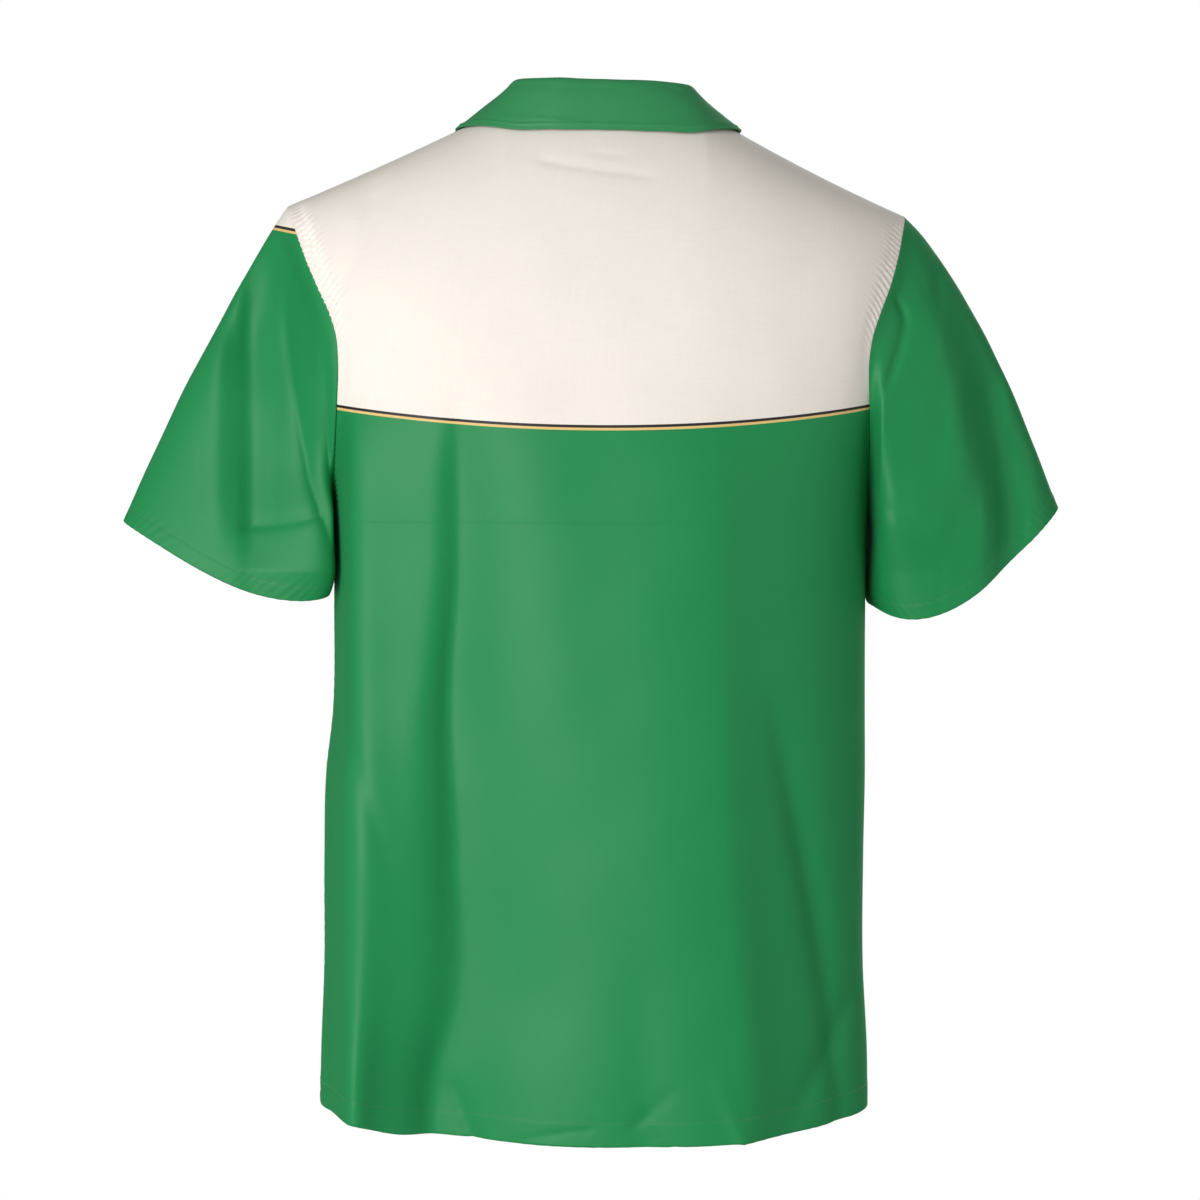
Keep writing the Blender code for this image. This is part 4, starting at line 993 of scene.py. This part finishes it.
def sleevePush(grid, turn, looks):
    # what moves the sleeve out along its normals, creases and the bands at cap and hem, and what
    # moves it straight back, the upright folds behind
    x, z = grid[..., 0], grid[..., 2]
    inward = -np.cos(turn)
    behind = ease(np.sin(turn), *sleeves["backFrom"])
    clear = ease(inward, *sleeves["foldsFrom"])
    folds = creasePush(x, z, looks["backCreases"]) * behind
    folds += creasePush(x, z, looks["frontCreases"]) * (1 - behind)
    wide, high = sleeves["waverScale"]
    folds += unevenness(x * wide, z * high, sleeves["waver"])
    down, fromHem = lengthAlong(grid, 0), lengthAlong(grid, 0, fromEnd=True)
    deeper = sum(drapePush(x, z, drape) for drape in looks["backDrapes"])
    deeper = (deeper + depthPush(np.abs(x), z, looks["backDepth"])) * behind
    deeper = deeper * ease(down, *sleeves["drapeFade"]) * ease(inward, *sleeves["drapesFrom"])
    push = folds * clear * ease(down, *sleeves["foldFade"])
    cover = bell(turn - sleeves["coverAt"], sleeves["coverWidth"])
    push += looks["cover"] * cover * ease(-z, *sleeves["coverFrom"])
    along = lengthAlong(grid, 1)
    gather = seamBand(down, along, seams["cap"]) + seamBand(fromHem, along, seams["cuff"])
    fromUnder = np.minimum(along, along[:, -1:] - along)
    seam = sleeves["underSink"] * bell(fromUnder, sleeves["underWidth"])
    return push + gather * clear - seam, deeper


def makeSleeve(hand):
    # the sleeve's form pushed into its folds, and a wall that meets the trunk's along the armhole
    looks, first = sleeves[hand], underarmRow
    ring, ringNormals = (
        np.concatenate([source[1, hand][first:, -1], source[-1, hand][first + 1:-1, -1][::-1]])
        for source in (forms, normals))
    grid, turn, offSeam = sleeveForm(hand, looks, ring, ringNormals)
    out = normalsOf(grid, closed=True) * hand
    agree = 1 + np.sum(ringNormals * out[0], axis=-1, keepdims=True)
    shared = -cloth["wall"] * (ringNormals + out[0]) / np.maximum(agree, sleeves["mitre"])
    push, deeper = sleevePush(grid, turn, looks)
    grid = grid + push[..., None] * out
    grid[..., 1] += deeper
    low = (ease(-grid[..., 2], *sleeves["closeBelow"]) * ease(grid[..., 1], *sleeves["closeBehind"])
           * ease(np.cos(turn), *sleeves["closeInside"]))
    grid[..., 0] -= hand * looks["closeIn"] * low
    out = normalsOf(grid, closed=True) * hand
    layers = doubled(lengthAlong(grid, 0, fromEnd=True), seams["cuff"]["stitch"])
    inner = grid - cloth["wall"] * layers[..., None] * out
    grid[0] += cloth["seamDraw"] * offSeam
    inner[0] = grid[0] + shared
    piece = clothPiece(sided("sleeve", hand), grid, inner, (sleeveCloth[hand], insidePlain), closed=True)
    whole, wholeOut = (np.concatenate([source, source[:, :1]], axis=1) for source in (grid, out))
    return piece, [edgeStitches(whole, wholeOut, "top", seams["cuff"]["stitch"])], shared


def setBackEdge(inner, outer, face, shared, column):
    # the wall's corner at the armhole is the one that the sleeve has there
    count = inner.shape[0] - underarmRow
    if face > 0:
        inner[underarmRow:, column] = outer[underarmRow:, column] + shared[:count]
    else:
        inner[-1, column] = outer[-1, column] + shared[count - 1]
        inner[underarmRow, column] = outer[underarmRow, column] + shared[0]
        inner[underarmRow + 1:-1, column] = outer[underarmRow + 1:-1, column] + shared[count:][::-1]


sleevePieces, sleeveRows, shared = {}, {}, {}
for hand in (1, -1):
    sleevePieces[hand], sleeveRows[hand], shared[hand] = makeSleeve(hand)

# the back is its right half turned round and then its left half
backGrid, backNormals = (np.concatenate([source[1, -1][:, ::-1], source[1, 1][:, 1:]], axis=1)
                         for source in (forms, normals))
backOuter, backTurned, backThick = finishPanel(backGrid, backNormals, back, ("first", "last"), False)
backInner = backOuter - backThick * backTurned
setBackEdge(backInner, backOuter, 1, shared[1], -1)
setBackEdge(backInner, backOuter, 1, shared[-1], 0)
backPiece = clothPiece("backPanel", backOuter, backInner, (trunkCloth, insideCloth))


def lapStandOff(x):
    # how far the upper front stands off over the lower one
    return fronts["lapLift"] * ease(-x, -fronts["lapHalf"] - fronts["lapSlope"], -fronts["lapHalf"])


frontPieces, frontOuter, frontTurned = {}, {}, {}
for hand in (1, -1):
    looks = {**fronts, **fronts[hand]}
    outer, turned, thick = finishPanel(forms[-1, hand], normals[-1, hand], looks, ("last",), True)
    if hand > 0:
        outer[..., 1] -= lapStandOff(outer[..., 0])
    inner = outer - thick * turned
    setBackEdge(inner, outer, -1, shared[hand], -1)
    frontPieces[hand] = clothPiece(sided("front", hand), outer, inner, (trunkCloth, insideCloth))
    frontOuter[hand], frontTurned[hand] = outer, turned
print("back, fronts and sleeves made")


# collar and lapels

collar = {
    "table": named("part stand lean edgeLeft edgeRight edgeY edgeZ turn lift", [
        (0.0, 27.5, 1, 0, 0, 66, -4.8, 5, 2.4),
        (0.2, 27.4, 2, 38, 38, 63, -6.2, 5, 2.4),
        (0.4, 24.8, 7, 76, 75, 49, -8.5, 5, 2.1),
        (0.55, 16.6, 11, 103, 101.5, 12, -8, 3.5, 1.7),
        (0.7, 13.6, 7, 104.5, 102.5, -36, -16, 4, 1.9),
        (0.85, 8, 2.5, 104, 102.5, -58, -31, 4, 2.5),
        (1.0, 0, 0, 99, 99, -70, -48, 2.4, 2.6)]),
    "rightFall": named("part crest edge", [  # how far the right half has sunk
        (0, 0, 0), (0.2, 1.4, 0.4), (0.4, 3.6, 4.5), (0.55, 2.4, 11), (0.7, 0.8, 6),
        (1, 0, 0)]),
    "rows": ((1.0, 28), (1.86, 30), (2.0, 12)),  # 0 at the seam, 1 at the crest, 2 at the edge
    "cornerPart": 0.55, "gorgePart": 0.8, "flatPart": 0.6,
    "tilt": 0.04, "doubled": 0.6, "riseHandle": 0.55, "fallHandle": 20.0,
    "innerTurn": 0.7, "fallStart": 1.3, "notch": 9.0, "gap": 0.3, "lapelRoll": 1.9,
    "waver": 0.30, "waverScale": (1.2, 1.5), "pushFrom": (0.4, 1.0), "stitched": (0.01, 0.99),
    "creases": creases(  # across, and up from the outer edge
        (-52, 33, 18, 39, 2, 3, 5, 0.4, 0.7, 0.5),
        (-12, 31, 60, 36, -2, 3, 6, 0.4, 0.5, 0.6),
        (20, 4.5, 70, 8, 1, 2, 3, 0.4, -0.5, -0.3),
        (-85, 6, -40, 4.5, 1, 2, 3, 0.4, -0.5, -0.4),
        (-30, 12, -24, 2, 0.5, 2, 2, 0.4, -0.5, -0.3),
        (48, 14, 56, 3, 0.5, 2, 2, 0.4, -0.4, -0.4)),
}
lapels = {
    "edge": named("part x z", [
        (0.0, 100, -70), (0.08, 95, -76), (0.4, 66, -97), (0.7, 30, -115),
        (1.0, -9, -129)]),
    "roll": 1.9, "lift": 1.5, "step": 1.0, "settle": 0.8, "turnSteps": 12, "rows": 34,
    "rightEnd": 10, "rightOut": 6.0, "rightDrop": 4.0, "turn": 0.92, "pushFrom": (14, 30),
    "stitched": (0.02, 0.9),
}


def collarParts():
    # the neck seam from one front round the back to the other, its normals, and its parts, -1 to 1
    frontPlaces, backPlaces = stretches(*fronts["across"]), stretches(*back["across"])
    gorge, corner, cornerPart = fronts["gorge"], fronts["corner"], collar["cornerPart"]
    onGorge = (np.arange(len(frontPlaces)) >= gorge) & (frontPlaces < corner - tiny)
    onBack = backPlaces <= back["corner"] + tiny
    start = frontPlaces[gorge]
    gorgePart = 1 - (1 - cornerPart) * (frontPlaces[onGorge] - start) / (corner - start)
    backPart = cornerPart * backPlaces[onBack] / back["corner"]
    seam, seamNormals = (np.concatenate([
        source[-1, -1][-1, onGorge], source[1, -1][-1, onBack][::-1], source[1, 1][-1, onBack][1:],
        source[-1, 1][-1, onGorge][::-1]]) for source in (forms, normals))
    return seam, seamNormals, np.concatenate([-gorgePart, -backPart[::-1], backPart[1:], gorgePart[::-1]])


def makeCollar():
    # a curve rises from the neck seam to the crest, and another falls from it to the outer edge
    seam, seamNormals, part = collarParts()
    away = np.abs(part)
    value, fall = curves(away, collar["table"]), curves(away, collar["rightFall"])
    crestFall, edgeFall = (np.where(part < 0, fall[key], 0.0) for key in ("crest", "edge"))
    level = unit(seamNormals * (1.0, 1.0, 0.0))
    off = unit(np.cross(seamNormals, unit(np.gradient(seam, axis=0))))
    off = off * np.sign(off[:, 2:])
    stand, turn = (value["stand"] - crestFall)[:, None], value["turn"][:, None]
    base = seam + collar["gap"] * off
    flat = ease(away, collar["flatPart"], 1.0)[:, None]
    crest = (base + stand * upward - value["lean"][:, None] * level
             + flat * collar["lapelRoll"] * (off + level))
    edgeX = np.where(part < 0, -value["edgeRight"], value["edgeLeft"])
    edgeZ = value["edgeZ"] - edgeFall + collar["tilt"] * edgeX
    edge = setOnTrunk(np.stack([edgeX, value["edgeY"], edgeZ], axis=-1), value["lift"], False)
    handle = collar["fallHandle"]
    rise = unit(off + stand / handle * upward) * collar["riseHandle"] * (stand + collar["lapelRoll"])
    fallWay = unit(edge - crest - turn * level)

    rows = stretches(*collar["rows"])
    up, down = np.clip(rows, 0, 1)[:, None, None], np.clip(rows - 1, 0, 1)[:, None, None]
    rising = bezier(base, base + rise, crest - collar["innerTurn"] * turn * level, crest, up)
    falling = bezier(crest, crest + turn * level, edge - handle * fallWay, edge, down)
    notch = collar["notch"] * ease(away, collar["gorgePart"], 1.0)[:, None]
    dip = np.minimum(2 * down, 2 * (1 - down)) * notch
    grid = np.where(rows[:, None, None] <= 1, rising, falling - dip * upward)
    over = rows >= collar["fallStart"]
    grid[over] = setOnTrunk(grid[over], value["lift"], True)

    out, middle = normalsOf(grid), len(part) // 2
    out = out * np.sign(np.sum(out[0, middle] * seamNormals[middle]))
    x, y, z = grid[..., 0], grid[..., 1], grid[..., 2]
    fromRim = lengthAlong(grid, 0, fromEnd=True)
    push = seamBand(fromRim, lengthAlong(grid, 1), seams["collar"])
    wide, deep = collar["waverScale"]
    push += unevenness(x * wide, y * deep + z, collar["waver"])
    push += creasePush(x, fromRim, collar["creases"]) * (y > 0)
    grid = grid + (push * ease(rows, *collar["pushFrom"])[:, None])[..., None] * out
    thick = np.interp(rows, (0.0, collar["doubled"]), (cloth["wall"], cloth["collarWall"]))
    inner = grid - thick[:, None, None] * out
    inner[0] = grid[0] - cloth["wall"] * seamNormals
    piece = clothPiece("collarPiece", grid, inner, (collarCloth, collarCloth))
    return piece, [edgeStitches(grid, out, "top", seams["collar"]["stitch"], collar["stitched"])]


def makeLapel(hand):
    # the front's edge carried on, turned outward round a small roll and laid on the front
    stop, roll = 0 if hand > 0 else lapels["rightEnd"], lapels["roll"]
    take = slice(stop, fronts["gorge"] + 1)
    seam = frontOuter[hand][-1, take][::-1].copy()
    out = normals[-1, hand][-1, take][::-1]
    along = unit(np.gradient(seam, axis=0))
    off = unit(np.cross(out, along))
    off = off * np.where(off[:, :1] * hand > 0, -1.0, 1.0)
    part = np.linspace(0.0, 1.0, len(seam))
    edgeX, edgeZ = curves(part, lapels["edge"]).values()
    if stop:
        edgeX = edgeX + (hand * seam[-1, 0] + lapels["rightOut"] - edgeX[-1]) * part ** 2
        edgeZ = edgeZ + (seam[-1, 2] - lapels["rightDrop"] - edgeZ[-1]) * part ** 2
    seam = seam + collar["gap"] * off
    seam[0] += lapels["step"] * along[0]
    angle = np.linspace(0.0, lapels["turn"] * math.pi, lapels["turnSteps"])[:, None, None]
    turned = seam + roll * (np.sin(angle) * off + (1 - np.cos(angle)) * out)
    b = np.linspace(0.0, 1.0, lapels["rows"])[:, None]
    x = seam[:, 0] + (hand * edgeX - seam[:, 0]) * b
    z = seam[:, 2] + (edgeZ - seam[:, 2]) * b
    lift = 2 * roll + (lapels["lift"] - 2 * roll) * ease(b, 0.0, lapels["settle"])
    if hand > 0:
        lift = lift + lapStandOff(x)
    grid = np.concatenate([turned, np.stack([x, trunkY(x, z, -1) - lift, z], axis=-1)])
    normal = normalsOf(grid)
    normal = normal * np.sign(np.sum(normal[0, 1] * out[1]))
    row = np.arange(len(grid))
    push = seamBand(lengthAlong(grid, 0, fromEnd=True), lengthAlong(grid, 1), seams["collar"])
    grid = grid + (push * ease(row, *lapels["pushFrom"])[:, None])[..., None] * normal
    thick = np.interp(row, (0, lapels["turnSteps"]), (cloth["wall"], cloth["collarWall"]))
    inner = grid - thick[:, None, None] * normal
    inner[0] = grid[0] - cloth["wall"] * out
    piece = clothPiece(sided("lapel", hand), grid, inner, (collarCloth, collarCloth))
    return piece, [edgeStitches(grid, normal, "top", seams["collar"]["stitch"], lapels["stitched"])]


collarPiece, collarRows = makeCollar()
lapelPieces, lapelRows = {}, {}
for hand in (1, -1):
    lapelPieces[hand], lapelRows[hand] = makeLapel(hand)
print("collar and lapels made")


# stitching of the trunk, and the whole list of pieces

def panelRows(outer, turned, edges):
    # along the hem, and along each side edge below the top of its vent
    vent = seams["vent"]["stitch"]
    return [edgeStitches(outer, turned, "hem", seams["hem"]["stitch"], seams["hemRun"])] + [
        edgeStitches(outer, turned, edge, vent, seams["ventRun"], seams["ventTop"]) for edge in edges]


fastening = {
    "edge": 6.0, "edgeRun": (0.0, 0.995),  # stitching this far in from the front edges,
    "under": 6.0,  # from this far under the lapels' break
    "hole": 15.0, "pitch": 0.62, "reach": 0.95, "bar": 1.7,  # a buttonhole's bars across its slit
    "cross": 4.6,  # thread from hole to hole of a button
}
buttonNodes = [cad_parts[f"button_{number}"] for number in range(1, 6)]


def buttonRows(node, outer, turned):
    # two columns of short bars across an upright slit, laid on the cloth behind a button, and two
    # crossed threads from hole to hole on its face
    corners = np.array([node.matrix_world @ vertex.co for vertex in node.data.vertices]) / millimetre
    up = np.arange(-fastening["hole"] / 2, fastening["hole"] / 2, fastening["pitch"])
    rows = []
    for aside in (-fastening["reach"], fastening["reach"]):
        want = np.stack([np.full_like(up, aside), corners[:, 2].mean() + up], axis=-1)
        near = np.array([np.argmin(np.sum((outer[..., (0, 2)] - point) ** 2, axis=-1)) for point in want])
        at, out = outer.reshape(-1, 3)[near], turned.reshape(-1, 3)[near]
        at[:, (0, 2)] = want
        rows.append(capsules(at, unit(np.cross(out, upward)), out, fastening["bar"]))
    face = (corners.min(axis=0) + corners.max(axis=0)) / 2
    face[1] = corners[:, 1].min()
    way = unit(np.array([[1.0, 0.0, 1.0], [-1.0, 0.0, 1.0]]))
    out = np.array([[0.0, -1.0, 0.0]] * 2)
    return rows, capsules(face + [[0.0, 0.0, 0.0], [0.0, -0.2, 0.0]], way, out, fastening["cross"])


def frontRows(hand):
    # the vent's and the hem's stitching, a row down the front edge, and what sews on the buttons
    outer, turned = frontOuter[hand], frontTurned[hand]
    rows = panelRows(outer, turned, ("last",))
    rows.append(edgeStitches(outer, turned, "first", fastening["edge"], fastening["edgeRun"],
                             fronts["break"] - fastening["under"]))
    if hand > 0:
        sewn = [buttonRows(node, outer, turned) for node in buttonNodes]
        rows += [row for bars, cross in sewn for row in bars] + [cross for bars, cross in sewn]
    return rows


# buttons: the frame's own shapes, with a pearly dyed finish

buttonLooks = {
    "dark": (0.035, 0.16, 0.07, 1.0),
    "light": (0.10, 0.32, 0.16, 1.0),
    "surface": {"Roughness": 0.22, "Coat Weight": 0.4, "Coat Roughness": 0.08},
    "cloud": 420.0,
    "layers": (90.0, 90.0, 600.0),
}
buttonMaterial, wire, shader = startMaterial("buttonShell", buttonLooks["surface"])
place = wire.node("TexCoord", out=3)
cloud = wire.noise(place, buttonLooks["cloud"], 3.0)
layer = wire.noise(place, 2.0, 4.0, stretch=buttonLooks["layers"])
(cloud * 0.6 + layer * 0.4).mix(buttonLooks["dark"], buttonLooks["light"]).feed(shader, "Base Color")
for node in buttonNodes:
    node.data.materials.clear()
    node.data.materials.append(buttonMaterial)

# each piece, what it stands for, its finish, its cut as a bounding rectangle and the area inside it,
# and its stitches
pieces = [
    (backPiece, "back", "body_cloth", (0.540, 0.800), 0.392, "backStitches",
     panelRows(backOuter, backTurned, ("first", "last"))),
    (frontPieces[1], "front_left", "body_cloth", (0.300, 0.800), 0.200, "frontStitchesLeft", frontRows(1)),
    (frontPieces[-1], "front_right", "body_cloth", (0.300, 0.800), 0.200, "frontStitchesRight",
     frontRows(-1)),
    (sleevePieces[1], "sleeve_left", "body_cloth", (0.440, 0.270), 0.080, "sleeveStitchesLeft",
     sleeveRows[1]),
    (sleevePieces[-1], "sleeve_right", "body_cloth", (0.440, 0.270), 0.080, "sleeveStitchesRight",
     sleeveRows[-1]),
    (collarPiece, "collar", "collar_cloth", (0.470, 0.075), 0.031, "collarStitches", collarRows),
    (lapelPieces[1], "facing_left", "collar_cloth", (0.150, 0.075), 0.0062, "lapelStitchesLeft",
     lapelRows[1]),
    (lapelPieces[-1], "facing_right", "collar_cloth", (0.120, 0.070), 0.0041, "lapelStitchesRight",
     lapelRows[-1]),
]
trunkNodes = ("back", "front_left", "front_right")
for piece, node, slot, flat, area, name, rows in pieces:
    stitches = stitchPiece(name, rows, trunkThread if node in trunkNodes else greenThread)
    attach(piece, "root")
    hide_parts(node)
    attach(stitches, "root")
print("stitches made, and every piece placed")


# camera, light and floor

studio = {
    "cameraPlace": (0.1953, 2.7932, -0.156), "cameraAim": (0.0, 0.0, -0.352), "lens": 113.52,
    "world": 0.18, "floorHeight": -1.43, "floorRadius": 2.2, "floorSides": 96,
    "lamps": [  # place, width, height and power
        ((1.75, 2.7, 0), 2, 2.6, 92),
        ((-3, 1.6, 0.4), 2, 2, 16),
        ((-1.2, -3, 0.6), 2, 2, 84),
    ],
}


def aimed(name, data, place):
    thing = linked(name, data)
    thing.location = place
    way = Vector(studio["cameraAim"]) - Vector(place)
    thing.rotation_euler = way.to_track_quat("-Z", "Y").to_euler()
    return thing


cameraData = bpy.data.cameras.new("camera")
cameraData.lens, cameraData.sensor_width = studio["lens"], 36.0
camera = aimed("camera", cameraData, studio["cameraPlace"])
bpy.context.scene.camera = camera
bpy.context.scene.view_settings.view_transform = "Standard"

for number, (place, width, height, power) in enumerate(studio["lamps"], start=1):
    lampData = bpy.data.lights.new(f"lamp{number}", "AREA")
    lampData.shape = "RECTANGLE"
    lampData.size, lampData.size_y, lampData.energy = width, height, power
    aimed(f"lamp{number}", lampData, place)

world = bpy.data.worlds.new("studio")
bpy.context.scene.world = world
world.use_nodes = True
wire = Wire(world.node_tree)
background = world.node_tree.nodes["Background"]
seen, glossy, through = (wire.node("LightPath", out=ray) for ray in (0, 3, 6))
seen = seen.math("MAXIMUM", seen.math("MAXIMUM", seen, glossy), through)
(seen * (1 - studio["world"]) + studio["world"]).feed(background, "Strength")
background.inputs["Color"].default_value = (1.0, 1.0, 1.0, 1.0)

around = np.linspace(0.0, tau, studio["floorSides"] + 1)[:-1]
rim = np.stack([np.cos(around), np.sin(around), 0 * around], axis=-1) * studio["floorRadius"]
floorMesh = bpy.data.meshes.new("floor")
floorMesh.from_pydata((rim + (0.0, 0.0, studio["floorHeight"])).tolist(), [], [list(range(len(rim)))])
floorPaint = {"Base Color": (0.80, 0.80, 0.80, 1.0), "Roughness": 0.8}
floorMesh.materials.append(startMaterial("floorPaint", floorPaint)[0])
floor = linked("floor", floorMesh)
print("studio made")
